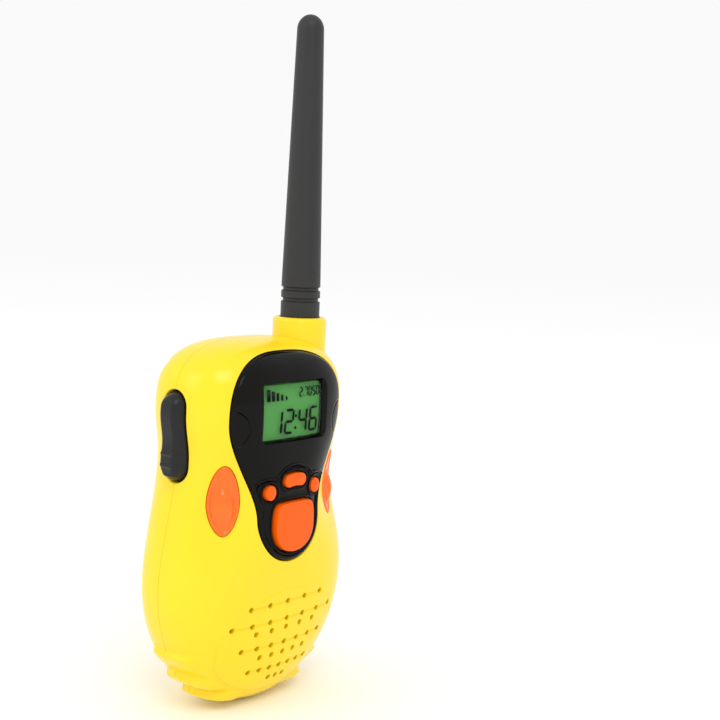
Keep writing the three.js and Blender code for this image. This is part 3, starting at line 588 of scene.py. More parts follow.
def plate_outline():
    angle = np.linspace(0, np.pi / 2, 40)
    bowl = np.stack([BOWL_HALF * np.sin(angle), BOWL_Z - (BOWL_Z - PLATE_BOTTOM) * np.cos(angle)], 1)
    rise = np.linspace(0, 1, 60)[1:]
    neck_half = BOWL_HALF + (PLATE_HALF - BOWL_HALF) * smooth(rise)
    neck = np.stack([neck_half, BOWL_Z + (SHOULDER_Z - BOWL_Z) * rise], 1)
    c, s = np.cos(angle[1:]), np.sin(angle[1:])
    r = (c**CROWN_POWER + s**CROWN_POWER) ** (-1 / CROWN_POWER)
    crown = np.stack([PLATE_HALF * c * r, SHOULDER_Z + (PLATE_TOP - SHOULDER_Z) * s * r], 1)
    return resample(mirrored(np.vstack([bowl, neck, crown])), 0.45)


def bezier(points, steps=16):
    t = np.linspace(0, 1, steps)[:-1, None]
    a, b, c, d = np.array(points, float)
    return (1 - t) ** 3 * a + 3 * t * (1 - t) ** 2 * b + 3 * t**2 * (1 - t) * c + t**3 * d


CALL_LOW, CALL_HIGH = box_of("call_button")
CALL_FLANGE = 1.1


def call_outline():
    """The big button: flat shoulders above, drawn in to a round chin below."""
    half = CALL_HIGH[0] - CALL_FLANGE
    low, high = CALL_LOW[2] + CALL_FLANGE + 1.0, CALL_HIGH[2] - CALL_FLANGE - 0.5
    right = np.vstack([
        bezier([(0, low), (half * 0.72, low), (half, low + 4.2), (half, low + 7.6)]),
        bezier([(half, low + 7.6), (half, high - 3.0), (half * 0.96, high - 0.4), (half * 0.7, high - 0.2)]),
        bezier([(half * 0.7, high - 0.2), (half * 0.45, high), (half * 0.2, high), (0, high)]),
        [(0, high)]])
    return resample(mirrored(right), 0.35)


BEAN_BEND, BEAN_SPREAD, BEAN_THICK, BEAN_Z = 14.0, 10.5, 1.95, 71.7


def bean_outline():
    """The middle key: a short bean that arches over the big button."""
    centre = (0, BEAN_Z - BEAN_BEND)
    ends = [arc(centre, BEAN_BEND, 90 + side * BEAN_SPREAD, 90, 2)[0] for side in (-1, 1)]
    return resample(np.vstack([
        arc(ends[0], BEAN_THICK, -90 - BEAN_SPREAD, 90 - BEAN_SPREAD),
        arc(centre, BEAN_BEND + BEAN_THICK, 90 - BEAN_SPREAD, 90 + BEAN_SPREAD)[1:-1],
        arc(ends[1], BEAN_THICK, 90 + BEAN_SPREAD, 270 + BEAN_SPREAD),
        arc(centre, BEAN_BEND - BEAN_THICK, 90 + BEAN_SPREAD, 90 - BEAN_SPREAD)[1:-1]]), 0.3)


TOE_X, TOE_Z, TOE_HALF = 9.5, 68.6, (1.95, 2.25)
CALL_PROUD, KEY_PROUD = 1.6, 0.9
PLATE_LOOP = plate_outline()
CALL_LOOP = call_outline()
BEAN_LOOP = bean_outline()
TOE_LOOPS = {side: ellipse(side * TOE_X, TOE_Z, *TOE_HALF, 52) for side in (-1, 1)}
DISPLAY_LOOP = resample(
    rounded_rectangle(-DISPLAY_HALF, DISPLAY_HALF, DISPLAY_BOTTOM, DISPLAY_TOP, 0.9), 0.4)

# ---------------------------------------------------------------- casing
GRILLE_ROWS = ((33.9, 15.0, 5), (28.5, 21.0, 7), (25.7, 12.2, 5), (20.9, 16.6, 7), (17.6, 9.3, 5),
               (13.1, 12.1, 7), (9.4, 3.0, 3))
LINED_ROWS = (0, 1, 3, 5)
HOLE_RADIUS, LINE_RADIUS, LINE_DEPTH = 0.86, 0.42, 0.34
OVAL_Z, OVAL_HALF, OVAL_RADIUS, OVAL_DEPTH = 21.0, (24.5, 16.6), 0.7, 0.12
LEAF_ANGLE = math.radians(33)
LEAF_X, LEAF_Z, LEAF_HALF = 22.2, 67.0, (4.95, 10.4)
SLOT = {"low": 71.3, "high": 98.9, "half": 4.8}
SLIDER_SLOT = {"low": 76.0, "high": 89.0, "half": 2.4}
ANTENNA_X = float(sum(box_of("antenna_whip")[i][0] for i in (0, 1)) / 2)
COLLAR_LOW, COLLAR_HIGH = box_of("antenna_collar")
COLLAR_RADIUS = (COLLAR_HIGH[0] - COLLAR_LOW[0]) / 2
LEFT = Face((-12, 0, 0), -Y, -X)
RIGHT = Face((12, 0, 0), Y, X)


def corner_face(side):
    """The drawing plane of a side button, on a front corner of the waist."""
    out = np.array([side * math.sin(LEAF_ANGLE), -math.cos(LEAF_ANGLE), 0])
    across = np.array([math.cos(LEAF_ANGLE), side * math.sin(LEAF_ANGLE), 0])
    spot = np.array([[side * LEAF_X, LEAF_Z]])
    middle = FRONT.place(spot, FRONT.skin(spot))[0]
    return Face(middle - 8 * out - LEAF_Z * Z, across, out)


def leaf_outline():
    w, h = LEAF_HALF
    right = np.vstack([
        bezier([(0, -h), (w * 0.5, -h), (w, -h * 0.5), (w, -h * 0.08)]),
        bezier([(w, -h * 0.08), (w, h * 0.35), (w * 0.55, h), (0, h)]),
        [(0, h)]])
    return resample(mirrored(right), 0.35) + [0, LEAF_Z]


LEAF_LOOP = leaf_outline()
LEAF_FACES = {side: corner_face(side) for side in (-1, 1)}
PILL_LOOP = resample(rounded_rectangle(-SLOT["half"], SLOT["half"], SLOT["low"], SLOT["high"],
                                       SLOT["half"] - 0.02), 0.4)
DOOR_LOW, DOOR_HIGH = box_of("battery_door")
DOOR_BOTTOM, DOOR_THICK = DOOR_LOW[2], 1.8
DOOR_LOOP = resample(rounded_rectangle(DOOR_LOW[0], DOOR_HIGH[0], DOOR_LOW[2], DOOR_HIGH[2], 3.7), 0.9)
DOOR_SCREW_Z, CLIP_SCREW_Z = (sum(box_of(node))[2] / 2 for node in ("battery_door_screw", "belt_clip_screw"))
LEDGE_LOOP = resample(
    rounded_rectangle(DOOR_LOW[0] - 2.5, DOOR_HIGH[0] + 2.5, DOOR_LOW[2] - 2, DOOR_HIGH[2] + 2, 4), 1.5)
TRAY_LOOP = resample(rounded_rectangle(-15.2, 15.2, 13.9, 70.2, 1), 1.5)
BAY_LOOP = resample(rounded_rectangle(-13.7, 13.7, 15.4, 68.7, 0.5), 1.5)
SHELL_SCREWS = [tuple(sum(box_of(f"shell_screw_{i}"))[[0, 2]] / 2) for i in range(1, 7)]
SCREW_SEAT, BOSS_RADIUS, WELL_RADIUS = 10.0, 3.9, 3.0
SLIDER_LOOP = resample(rounded_rectangle(-SLIDER_SLOT["half"], SLIDER_SLOT["half"], SLIDER_SLOT["low"],
                                         SLIDER_SLOT["high"], 0.8), 0.4)


def shared_cuts(shell):
    boolean(shell, lip_cutter(LEFT, PILL_LOOP, 0.5, 6))
    boolean(shell, lip_cutter(RIGHT, SLIDER_LOOP, 0.35, 6))
    hole = [(COLLAR_RADIUS + 0.02, COLLAR_LOW[2]), (COLLAR_RADIUS + 0.02, 140)]
    boolean(shell, turned(hole, (ANTENNA_X, 0, 0), sides=96))


def front_shell():
    shell = mesh_object("front_shell_visual", shell_form(-1))
    boolean(shell, lip_cutter(FRONT, offset(PLATE_LOOP, GAP), 0.45, 6))
    for side in (-1, 1):
        boolean(shell, lip_cutter(LEAF_FACES[side], offset(LEAF_LOOP, 0.12), 0.3, 1))
    holes, lines = [], []
    for row, (z, reach, count) in enumerate(GRILLE_ROWS):
        centres = [(x, z) for x in np.linspace(-reach, reach, count)]
        holes += [lip_cutter(FRONT, circle(HOLE_RADIUS, 22, centre), 0.2, 11) for centre in centres]
        if row in LINED_ROWS:
            lines.append(np.stack([np.linspace(-reach - 1.0, reach + 1.0, 70), np.full(70, z)], 1))
    boolean(shell, join(holes))
    boolean(shell, join([rod(FRONT, line, LINE_RADIUS, LINE_DEPTH) for line in lines]))
    oval = ellipse(0, OVAL_Z, *OVAL_HALF, 240)
    boolean(shell, rod(FRONT, oval, OVAL_RADIUS, OVAL_DEPTH, closed=True))
    shared_cuts(shell)
    shade(shell, on_skin=True)
    return finish(shell, "casing", ["front_shell"], YELLOW)


def back_shell():
    shell = mesh_object("back_shell_visual", shell_form(1))
    tray = sheet(BACK, [TRAY_LOOP], [], 2.5,
                 lambda uv: BACK.skin(uv) - 1, lambda uv: np.full(len(uv), -4.5))[0]
    ledge = sheet(BACK, [LEDGE_LOOP], [], 2.5,
                  lambda uv: BACK.skin(uv) - 1.01, lambda uv: BACK.skin(uv) - 4)[0]
    for block in (tray, ledge):
        boolean(shell, block, "UNION")
    bosses, wells = [], []
    for x, z in SHELL_SCREWS:
        ring = circle(BOSS_RADIUS, 40, (x, z))
        bosses.append(stack([BACK.place(ring, 5.0), BACK.place(ring, BACK.skin(ring) - 1.0)], caps=True))
        wells.append(lip_cutter(BACK, circle(WELL_RADIUS, 40, (x, z)), 0.3, SCREW_SEAT - GAP, flare=0.2))
    boolean(shell, join(bosses), "UNION")
    boolean(shell, join(wells))
    pocket = sheet(BACK, [offset(DOOR_LOOP, GAP)], [], 1.5, lambda uv: BACK.skin(uv) + 3,
                   lambda uv: BACK.skin(uv) - DOOR_THICK - GAP)[0]
    bay = sheet(BACK, [BAY_LOOP], [], 3, lambda uv: BACK.skin(uv) + 4, lambda uv: np.full(len(uv), -3.0))[0]
    boolean(shell, pocket)
    boolean(shell, bay)
    boolean(shell, turned([(1.2, 5), (1.2, 40)], (0, 0, DOOR_SCREW_Z), Y, 24))
    shared_cuts(shell)
    shade(shell, on_skin=True)
    return finish(shell, "casing", ["back_shell"], YELLOW)


# ---------------------------------------------------------------- face plate, display and keys
PLATE_PROUD, PLATE_BACK = 0.4, 2.3
PAW_CIRCLES = ((0, 66.77, 9.03), (9.9, 66.5, 5.85), (-9.9, 66.5, 5.85))
PAW_FLOOR_Z = 67.0
EAR_Z, EAR_RADIUS = 88.2, 5.5
BEVEL, BEVEL_DEPTH = 0.9, 1.6
KEY_HOLES = [offset(loop, GAP) for loop in (CALL_LOOP, BEAN_LOOP, TOE_LOOPS[-1], TOE_LOOPS[1])]


def paw_edge(uv, rim):
    """Distance from the line that bounds the key area, below zero within it.
    The area stops short of the rim."""
    area = uv[:, 1] - PAW_FLOOR_Z
    for x, z, radius in PAW_CIRCLES:
        area = np.minimum(area, np.hypot(uv[:, 0] - x, uv[:, 1] - z) - radius)
    return np.maximum(area, 1.35 - rim)


def plate_front(uv):
    rim = distance(uv, PLATE_LOOP)
    paw = paw_edge(uv, rim)
    relief = PLATE_PROUD - rounded(rim, 0.9) - 0.6 * (1 - smooth(paw / 0.6 + 0.5))
    for hole in KEY_HOLES:
        gap = distance(uv, hole)
        relief += 0.3 * bump(gap - 0.7, 0.5) - rounded(gap, 0.2)
    for side in (-1, 1):
        ear = np.hypot(uv[:, 0] - side * PLATE_HALF, uv[:, 1] - EAR_Z) - EAR_RADIUS
        relief -= 0.4 * bump(ear, 0.2) + 0.16 * smooth(-ear / 0.4)
    relief -= BEVEL_DEPTH * np.clip(1 - distance(uv, DISPLAY_LOOP) / BEVEL, 0, 1) ** 1.25
    return FRONT.skin(uv) + relief


def paw_line(grow):
    """The line round the key area from rim to rim, with its notches softened."""
    rings = np.vstack([circle(radius + grow, 500, (x, z)) for x, z, radius in PAW_CIRCLES])
    rim = distance(rings, PLATE_LOOP)
    on = (np.abs(paw_edge(rings, rim) - grow) < 0.01) & (rim > 1.3) & inside(rings, PLATE_LOOP)
    line = rings[on]
    line = line[np.argsort(np.arctan2(line[:, 0], line[:, 1] - PAW_FLOOR_Z + 1))]
    length = np.concatenate([[0], np.cumsum(np.linalg.norm(np.diff(line, axis=0), axis=1))])
    at = np.linspace(0, length[-1], 150)
    line = np.stack([np.interp(at, length, line[:, i]) for i in range(2)], 1)
    for _ in range(5):
        line[1:-1] = (line[:-2] + 2 * line[1:-1] + line[2:]) / 4
    return line


def plate_beads():
    """Fine raised lines on the face plate: a double one round the key area and one round every key."""
    lines = [(paw_line(0.75), 0.3, PLATE_PROUD + 0.08, False),
             (paw_line(-0.45), 0.24, PLATE_PROUD - 0.5, False)]
    lines += [(resample(offset(hole, 0.75), 0.3), 0.3, PLATE_PROUD - 0.25, True) for hole in KEY_HOLES]
    beads = [rod(FRONT, line, radius, radius - lift, closed) for line, radius, lift, closed in lines]
    ridges = mesh_object("faceplate_beads", join(beads))
    shade(ridges, 60)
    return finish(ridges, "casing", [], GLOSS)


def faceplate():
    rim_steps = (0.04, 0.13, 0.27, 0.45, 0.68, 0.92, 1.1, 1.35, 1.6, 1.9)
    hole_steps = (0.06, 0.2, 0.45, 0.65, 0.85, 1.1, 1.4, 1.8)
    guides = inset_lines(PLATE_LOOP, 0.45, rim_steps)
    guides += [resample(offset(hole, g), 0.3) for hole in KEY_HOLES for g in hole_steps]
    guides += inset_lines(DISPLAY_LOOP, 0.4, (-0.2, -0.45, -0.7, -0.9, -1.2))
    for x, z, radius in PAW_CIRCLES:
        for grow in (-1.2, -0.95, -0.75, -0.55, -0.3, -0.1, 0.1, 0.3, 0.45, 0.6, 0.75, 0.95, 1.2):
            ring = circle(radius + grow, round(18 * radius), (x, z))
            rim = distance(ring, PLATE_LOOP)
            guides.append(ring[np.abs(paw_edge(ring, rim) - grow) < 0.03])
    for side in (-1, 1):
        guides += [circle(EAR_RADIUS + grow, 90, (side * PLATE_HALF, EAR_Z))
                   for grow in (-0.45, -0.22, -0.1, 0, 0.1, 0.22, 0.4)]
    plate = sheet_piece("faceplate_visual", FRONT, [PLATE_LOOP, DISPLAY_LOOP, *KEY_HOLES], guides, 0.8,
                        plate_front, lambda uv: FRONT.skin(uv) - PLATE_BACK)
    return finish(plate, "casing", ["faceplate"], GLOSS)


WINDOW_DEPTH, CARD_DEPTH = 1.3, 2.2
DIGIT_SEGMENTS = {"0": "abcdef", "1": "bc", "2": "abged", "3": "abgcd", "4": "fgbc", "5": "afgcd",
                  "6": "afgedc", "7": "abc", "8": "abcdefg", "9": "abcdfg"}


def bar(start, end, thick):
    """One display segment: a bar with pointed ends."""
    start, end = np.array(start, float), np.array(end, float)
    along = unit(end - start)
    across = np.array([-along[1], along[0]]) * thick / 2
    start, end = start + along * thick * 0.15, end - along * thick * 0.15
    tip = along * thick / 2
    return np.array([start, start + tip - across, end - tip - across,
                     end, end - tip + across, start + tip + across])


def digit_bars(character, x, z, width, height, thick):
    """The bars of one figure, with its lower left corner at (x, z)."""
    lines = {"a": ((0, 2), (1, 2)), "b": ((1, 1), (1, 2)), "c": ((1, 0), (1, 1)), "d": ((0, 0), (1, 0)),
             "e": ((0, 0), (0, 1)), "f": ((0, 1), (0, 2)), "g": ((0, 1), (1, 1))}
    lean = 0.07 * height / 2
    def corner(i, j):
        return x + i * width + j * lean, z + j * height / 2
    return [bar(corner(*lines[s][0]), corner(*lines[s][1]), thick) for s in DIGIT_SEGMENTS[character]]


def display():
    def at(depth):
        return lambda uv: FRONT.skin(uv) - depth
    pane = sheet_piece("display_window_visual", FRONT, [offset(DISPLAY_LOOP, -0.04)], [], 1.2,
                       at(WINDOW_DEPTH), at(WINDOW_DEPTH + 0.5))
    finish(pane, "casing", ["display_window"], CLEAR)
    card = sheet_piece("display_card_visual", FRONT, [offset(DISPLAY_LOOP, 0.6)], [], 1.2,
                       at(CARD_DEPTH), at(CARD_DEPTH + 0.5))
    finish(card, "casing", ["display_card"], GREEN)

    width, height = 2 * DISPLAY_HALF, DISPLAY_TOP - DISPLAY_BOTTOM
    def spot(u, v):
        return DISPLAY_HALF * (2 * u - 1), DISPLAY_BOTTOM + v * height
    shapes = []
    for u, figure in zip((0.17, 0.36, 0.59, 0.78), "1246"):
        shapes += digit_bars(figure, *spot(u, 0.1), 0.125 * width, 0.42 * height, 0.8)
    for v in (0.18, 0.4):
        shapes.append(circle(0.45, 12, spot(0.54, v)))
    for u, figure in zip((0.6, 0.69, 0.76, 0.83, 0.9), "27050"):
        shapes += digit_bars(figure, *spot(u, 0.75), 0.042 * width, 0.16 * height, 0.4)
    shapes.append(circle(0.22, 10, spot(0.672, 0.76)))
    for i in range(5):
        x, z = spot(0.07 + 0.073 * i, 0.71)
        thick, tall = 1.25 - 0.14 * i, 3.5 - 0.58 * i
        shapes.append(rounded_rectangle(x, x + thick, z, z + tall, 0.08))
    bars = [pad(FRONT, shape, [(0, FRONT.skin(shape) - WINDOW_DEPTH + lift) for lift in (-0.1, 0.04)])
            for shape in shapes]
    figures = mesh_object("display_figures", join(bars))
    shade(figures)
    finish(figures, "casing", [], INK)


def key(name, loop, proud, draft, edge, crown):
    """A push key: its height over the skin, its flare at the foot, the rounding of its edge, its crown."""
    centre = loop.mean(0)[None]
    skin = FRONT.skin(centre)[0]
    top = skin + proud
    levels = [(draft, skin - 3.2), (draft, skin - 0.6), (0, top - edge)]
    levels += rounded_top(top, edge)
    cap = mesh_object(f"{name}_visual", pad(FRONT, loop, levels, crown))
    shade(cap, 40)
    return finish(cap, name, [name], ORANGE)


# ---------------------------------------------------------------- side buttons, talk lever and power slider
DOME_DROP, DOME_HALF, DOME_PROUD = 2.0, (3.4, 5.6), 2.2


def side_button(name, side):
    face = LEAF_FACES[side]

    def front(uv):
        spread = ((uv[:, 0] / DOME_HALF[0]) ** 2 + ((uv[:, 1] - LEAF_Z + DOME_DROP) / DOME_HALF[1]) ** 2)
        dome = DOME_PROUD * np.clip(1 - spread, 0, 1) ** 1.1
        rim = 0.25 * bump(distance(uv, LEAF_LOOP) - 0.7, 0.3)
        return face.skin(uv) + 0.1 - rounded(distance(uv, LEAF_LOOP), 0.4) + rim + dome

    guides = inset_lines(LEAF_LOOP, 0.35, (0.03, 0.1, 0.22, 0.38, 0.55, 0.7, 0.85, 1.1))
    lens = sheet_piece(f"{name}_visual", face, [LEAF_LOOP], guides, 0.45,
                       front, lambda uv: face.skin(uv) - 3)
    return finish(lens, name, [name], LENS)


LEVER_HIGH = box_of("talk_lever")[0][0]
LEVER_RIDGES = (80.1, 76.7, 73.9)
LEVER_BACK = 14.0


def talk_lever():
    loop = resample(offset(PILL_LOOP, -0.3), 0.4)
    reach = -LEVER_HIGH + LEFT.origin[0]

    def front(uv):
        z = uv[:, 1]
        edge = distance(uv, loop)
        crest = reach - 1.8 + 1.6 * bump(z - 92.0, 7.0) + 1.1 * bump(z - 77.6, 4.6)
        for ridge in LEVER_RIDGES:
            crest += 0.34 * bump(z - ridge, 0.42) * smooth(edge / 1.2)
        side = np.clip(1 - edge / 2.7, 0, 1) ** 2.2
        return 15.4 + (crest - 15.4) * np.sqrt(1 - side)

    guides = inset_lines(loop, 0.4, (0.02, 0.08, 0.2, 0.4, 0.7, 1.1))
    lever = sheet_piece("talk_lever_visual", LEFT, [loop], guides, 0.4,
                        front, lambda uv: np.full(len(uv), LEVER_BACK))
    return finish(lever, "talk_lever", ["talk_lever"], SATIN)


def power_slider():
    low, high = box_of("power_slider")
    middle = (low[2] + high[2]) / 2
    loop = resample(rounded_rectangle(-2.1, 2.1, middle - 3, middle + 3, 0.7), 0.3)
    reach = high[0] - RIGHT.origin[0]

    def front(uv):
        along = uv[:, 1] - middle
        grip = 0.35 * np.cos(along * math.pi / 0.75) * smooth((2.6 - np.abs(along)) / 0.4)
        return reach - 0.35 + grip * smooth(distance(uv, loop) / 0.5) - rounded(distance(uv, loop), 0.45)

    guides = inset_lines(loop, 0.3, (0.03, 0.1, 0.22, 0.4))
    knob = sheet_piece("power_slider_visual", RIGHT, [loop], guides, 0.2,
                       front, lambda uv: np.full(len(uv), reach - 5))
    return finish(knob, "power_slider", ["power_slider"], SATIN)


# ---------------------------------------------------------------- antenna
AERIAL = {"radius": 6.2, "tip": 4.2, "grooves": (123.8, 127.2), "groove_depth": 0.56, "fine": (122.6, 128.6),
          "taper_from": 129.0}
AERIAL_TOP = box_of("antenna_whip")[1][2]


def antenna():
    low = box_of("antenna_base")[0][2]
    tip_start = AERIAL_TOP - AERIAL["tip"] * 1.1
    fine_from, fine_to = AERIAL["fine"]
    heights = np.concatenate([np.arange(low, fine_from, 2), np.arange(fine_from, fine_to, 0.1),
                              np.arange(fine_to, tip_start, 3), [tip_start]])
    radius = np.interp(heights, [AERIAL["taper_from"], tip_start], [AERIAL["radius"], AERIAL["tip"]])
    for groove in AERIAL["grooves"]:
        radius -= AERIAL["groove_depth"] * (1 - smooth((np.abs(heights - groove) - 0.4) / 0.3))
    profile = list(zip(radius, heights))
    for turn in np.linspace(0, math.pi / 2, 14)[1:-1]:
        height = tip_start + (AERIAL_TOP - tip_start) * math.sin(turn)
        profile.append((AERIAL["tip"] * math.cos(turn), height))
    profile.append((0.3, AERIAL_TOP))
    sleeve = mesh_object("antenna_sleeve", turned(profile, (ANTENNA_X, 0, 0), sides=72))
    shade(sleeve, 50)
    sleeve.data.materials.append(RUBBER)
    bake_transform(sleeve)
    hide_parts("antenna_base", "antenna_whip")
    return sleeve


def antenna_collar():
    bore, bottom, top = AERIAL["radius"] + 0.35, COLLAR_LOW[2], COLLAR_HIGH[2]
    profile = [(bore, bottom), (COLLAR_RADIUS, bottom)]
    profile += [(COLLAR_RADIUS - 1.3 * (1 - math.cos(t)), top - 1.3 * (1 - math.sin(t)))
                for t in np.linspace(0, math.pi / 2, 9)]
    profile += [(bore + 0.25, top), (bore + 0.07, top - 0.07), (bore, top - 0.25)]
    rings = [turned([p], (ANTENNA_X, 0, 0), sides=96)[0] for p in profile]
    collar = mesh_object("antenna_collar_visual", stack([*rings, rings[0]]))
    shade(collar, 40)
    return finish(collar, "casing", ["antenna_collar"], YELLOW)


# ---------------------------------------------------------------- back: battery door, belt clip and screws
def battery_door():
    def front(uv):
        grip = np.zeros(len(uv))
        for i in range(5):
            past_end = np.maximum(np.abs(uv[:, 0]) - 7 + 0.9 * i, 0)
            line = np.hypot(past_end, uv[:, 1] - DOOR_BOTTOM - 6 - 2.4 * i)
            grip += 0.7 * bump(line, 0.6)
        return BACK.skin(uv) + grip - rounded(distance(uv, DOOR_LOOP), 0.5) - rounded(distance(uv, well), 0.3)

    well = circle(2.5, 36, (0, DOOR_SCREW_Z))
    guides = inset_lines(DOOR_LOOP, 0.9, (0.04, 0.12, 0.27, 0.5))
    guides += inset_lines(well, 0.3, (-0.05, -0.15, -0.3))
    for i in range(5):
        line = np.linspace(-9, 9, 60)
        guides += [np.stack([line, np.full(60, DOOR_BOTTOM + 6 + 2.4 * i + shift)], 1)
                   for shift in (-0.9, -0.6, -0.3, 0, 0.3, 0.6, 0.9)]
    door = sheet_piece("battery_door_visual", BACK, [DOOR_LOOP, well], guides, 1.1,
                       front, lambda uv: BACK.skin(uv) - DOOR_THICK)
    return finish(door, "battery_door", ["battery_door"], YELLOW)


CLIP_THICK, CLIP_HOOK, CLIP_EDGE = 1.8, 2.2, 0.7


def belt_clip():
    low, high = box_of("belt_clip_base")
    loop = resample(rounded_rectangle(low[0], high[0], low[2], high[2], 2), 0.5)
    top = high[1]
    levels = [(0, BACK.skin(loop) + 0.05), (0, np.full(len(loop), top - CLIP_EDGE))]
    levels += rounded_top(top, CLIP_EDGE)
    base = mesh_object("belt_clip_base_visual", pad(BACK, loop, levels))
    tongue_low, tongue_high = box_of("belt_clip_tongue")
    half, root = tongue_high[0], tongue_high[2]
    seat = rounded_rectangle(-half - GAP, half + GAP, low[2] - 9, root + 0.4, 0.3)
    boolean(base, stack([BACK.place(seat, 23.2), BACK.place(seat, 40)], caps=True))
    boolean(base, turned([(2.6, top - 1.4), (2.6, 40)], (0, 0, CLIP_SCREW_Z), Y, 40))
    shade(base)
    finish(base, "casing", ["belt_clip_base"], SATIN)

    blade = resample(rounded_rectangle(-half, half, tongue_low[2], root, 2), 0.5)
    inner = tongue_high[1] - CLIP_THICK

    def front(uv):
        height = uv[:, 1] - tongue_low[2]
        within = smooth((height - 1.4) / 0.6) * smooth((8.2 - height) / 0.6)
        grip = 0.3 * np.cos(height * math.pi / 1.1) * within
        edge = distance(uv, blade)
        return tongue_high[1] - 0.35 - rounded(edge, 0.6) + grip * smooth(edge / 1.2)

    def back(uv):
        return inner - CLIP_HOOK * (1 - smooth((uv[:, 1] - tongue_low[2] - 1.6) / 1.6))

    guides = inset_lines(blade, 0.6, (0.05, 0.15, 0.32, 0.6))
    tongue = sheet_piece("belt_clip_tongue_visual", BACK, [blade], guides, 0.5, front, back)
    finish(tongue, "belt_clip_tongue", ["belt_clip_tongue"], SATIN)


def cross_screw(node, body, thick, sink=0.0):
    """A pan-head cross screw with its axis along Y, in the place of its CAD node.
    Sink makes the head lower and a little narrower."""
    low, high = box_of(node)
    centre, radius, top = (low + high) / 2, (high[0] - low[0]) / 2 - 0.35 * sink, high[1] - sink
    thick -= sink
    seat = top - thick
    shank = radius * 0.45
    profile = [(0.2, low[1]), (shank, low[1] + 1.5), (shank, seat)]
    profile += [(radius - 0.1, seat), (radius, seat + 0.1)]
    profile += [(radius * math.cos(t) ** 0.7, seat + 0.35 * thick + 0.65 * thick * math.sin(t))
                for t in np.linspace(0, math.pi / 2, 9)[:-1]]
    profile.append((0.1, top))
    screw = mesh_object(f"{node}_visual", turned(profile, (centre[0], 0, centre[2]), Y, 40))
    for wide, narrow in ((0.6, 0.15), (0.15, 0.6)):
        w, h = wide * radius, narrow * radius
        slot = np.array([(-w, -h), (w, -h), (w, h), (-w, h)])
        middle = np.array([centre[0], centre[2]])
        boolean(screw, stack([BACK.place(middle + slot * 0.55, seat + 0.25 * thick),
                              BACK.place(middle + slot * 1.1, top + 0.2)], caps=True))
    shade(screw)
    return finish(screw, body, [node], STEEL)


def carried_over():
    """CAD pieces whose shape stays, in their finished materials."""
    surfaces = {
        STEEL: ("talk_lever_pin", "power_switch_body", "crystal", "speaker_frame"),
        COPPER: ("antenna_core", "audio_transformer", "tuning_coil"),
        RED_WIRE: ("antenna_lead", "speaker_lead_a", "battery_lead_red"),
        BLACK_WIRE: ("speaker_lead_b", "battery_lead_black"),
        LAMINATE: ("circuit_board",),
        COMPONENT: ("talk_switch", "transistor_1", "transistor_2", "speaker_magnet", "battery_snap"),
        SLEEVE: ("capacitor_1", "capacitor_2", "battery"),
        LED: ("side_led_left", "side_led_right"),
        PAPER: ("speaker_cone",),
        GREY: ("keypad_mat",),
    }
    for surface, names in surfaces.items():
        for name in names:
            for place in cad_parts[name].material_slots:
                place.material = surface


front_shell()
back_shell()
faceplate()
plate_beads()
display()
key("call_button", CALL_LOOP, CALL_PROUD, 0.12, 0.5, 0.12)
key("key_middle", BEAN_LOOP, KEY_PROUD, 0.08, 0.4, 0.25)
for key_name, key_side in (("key_left", -1), ("key_right", 1)):
    key(key_name, TOE_LOOPS[key_side], KEY_PROUD, 0.08, 0.4, 0.25)
side_button("side_button_left", -1)
side_button("side_button_right", 1)
talk_lever()
power_slider()
antenna()
antenna_collar()
battery_door()
belt_clip()
for number in range(1, 7):
    cross_screw(f"shell_screw_{number}", "casing", 1.8, sink=0.9)
cross_screw("board_screw_1", "casing", 1.4)
cross_screw("board_screw_2", "casing", 1.4)
cross_screw("belt_clip_screw", "casing", 1.6)
cross_screw("battery_door_screw", "battery_door", 1.2)
carried_over()

# ---------------------------------------------------------------- camera, floor and light
HEADING, PITCH, ROLL = math.radians(50.13), math.radians(6.65), math.radians(2.5)
LENS_LENGTH, SENSOR_WIDTH, CAMERA_PLACE = 62.5, 36, (-271.35, -269.97, 151.5)


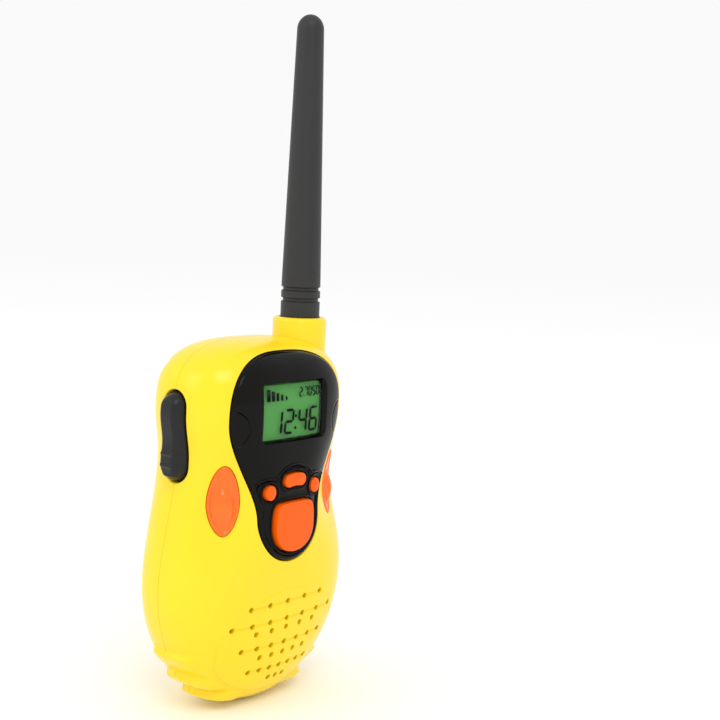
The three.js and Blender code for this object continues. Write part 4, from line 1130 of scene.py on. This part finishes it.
def add_camera():
    level = Vector((math.sin(HEADING), math.cos(HEADING), 0))
    side = Vector((math.cos(HEADING), -math.sin(HEADING), 0))
    up = Vector((0, 0, 1))
    ahead = level * math.cos(PITCH) - up * math.sin(PITCH)
    above = up * math.cos(PITCH) + level * math.sin(PITCH)
    right = side * math.cos(ROLL) + above * math.sin(ROLL)
    above = above * math.cos(ROLL) - side * math.sin(ROLL)
    data = bpy.data.cameras.new("camera")
    data.lens, data.sensor_width, data.clip_start = LENS_LENGTH, SENSOR_WIDTH, 0.01
    camera = bpy.data.objects.new("camera", data)
    place = Matrix((right, above, -ahead)).transposed().to_4x4()
    place.translation = Vector(CAMERA_PLACE) * MM
    camera.matrix_world = place
    bpy.context.scene.collection.objects.link(camera)
    bpy.context.scene.camera = camera


def add_light(name, spot, target, size, watts, colour=(1, 1, 1)):
    data = bpy.data.lights.new(name, "AREA")
    data.shape, data.size, data.size_y, data.energy, data.color = "RECTANGLE", *size, watts, colour
    lamp = bpy.data.objects.new(name, data)
    lamp.location = spot
    lamp.rotation_euler = (Vector(target) - Vector(spot)).to_track_quat("-Z", "Y").to_euler()
    bpy.context.scene.collection.objects.link(lamp)


def add_stage():
    """A round pale floor, 30 m in radius, under an evenly white sky."""
    angles = np.linspace(0, 2 * np.pi, 96, endpoint=False)
    ring = np.stack([np.cos(angles), np.sin(angles), np.zeros(96)], 1)
    rings = [r * ring - [0, 0, 0.0002] for r in (0.5, 4.0, 30.0)]
    points, faces = stack(rings)
    mesh = bpy.data.meshes.new("studio_floor")
    mesh.from_pydata(points.tolist(), [], [face[::-1] for face in faces] + [list(range(96))])
    floor = bpy.data.objects.new("studio_floor", mesh)
    bpy.context.scene.collection.objects.link(floor)
    paper = material("studio_paper", (255, 255, 255), 0.95, 60, 0.05, 0.995, Specular_IOR_Level=0.0)
    mesh.materials.append(paper)
    world = bpy.data.worlds.new("studio")
    bpy.context.scene.world = world
    world.use_nodes = True
    world.node_tree.nodes["Background"].inputs["Color"].default_value = (1, 1, 1, 1)
    world.node_tree.nodes["Background"].inputs["Strength"].default_value = 0.95


add_camera()
add_stage()
add_light("key_soft", (-0.7, -0.9, 1.4), (0, 0, 0.07), (0.8, 0.8), 6)
add_light("rim_soft", (-1.3, 0.5, 0.9), (0, 0, 0.07), (0.7, 0.8), 2.5)
bpy.context.scene.view_settings.view_transform = "Standard"
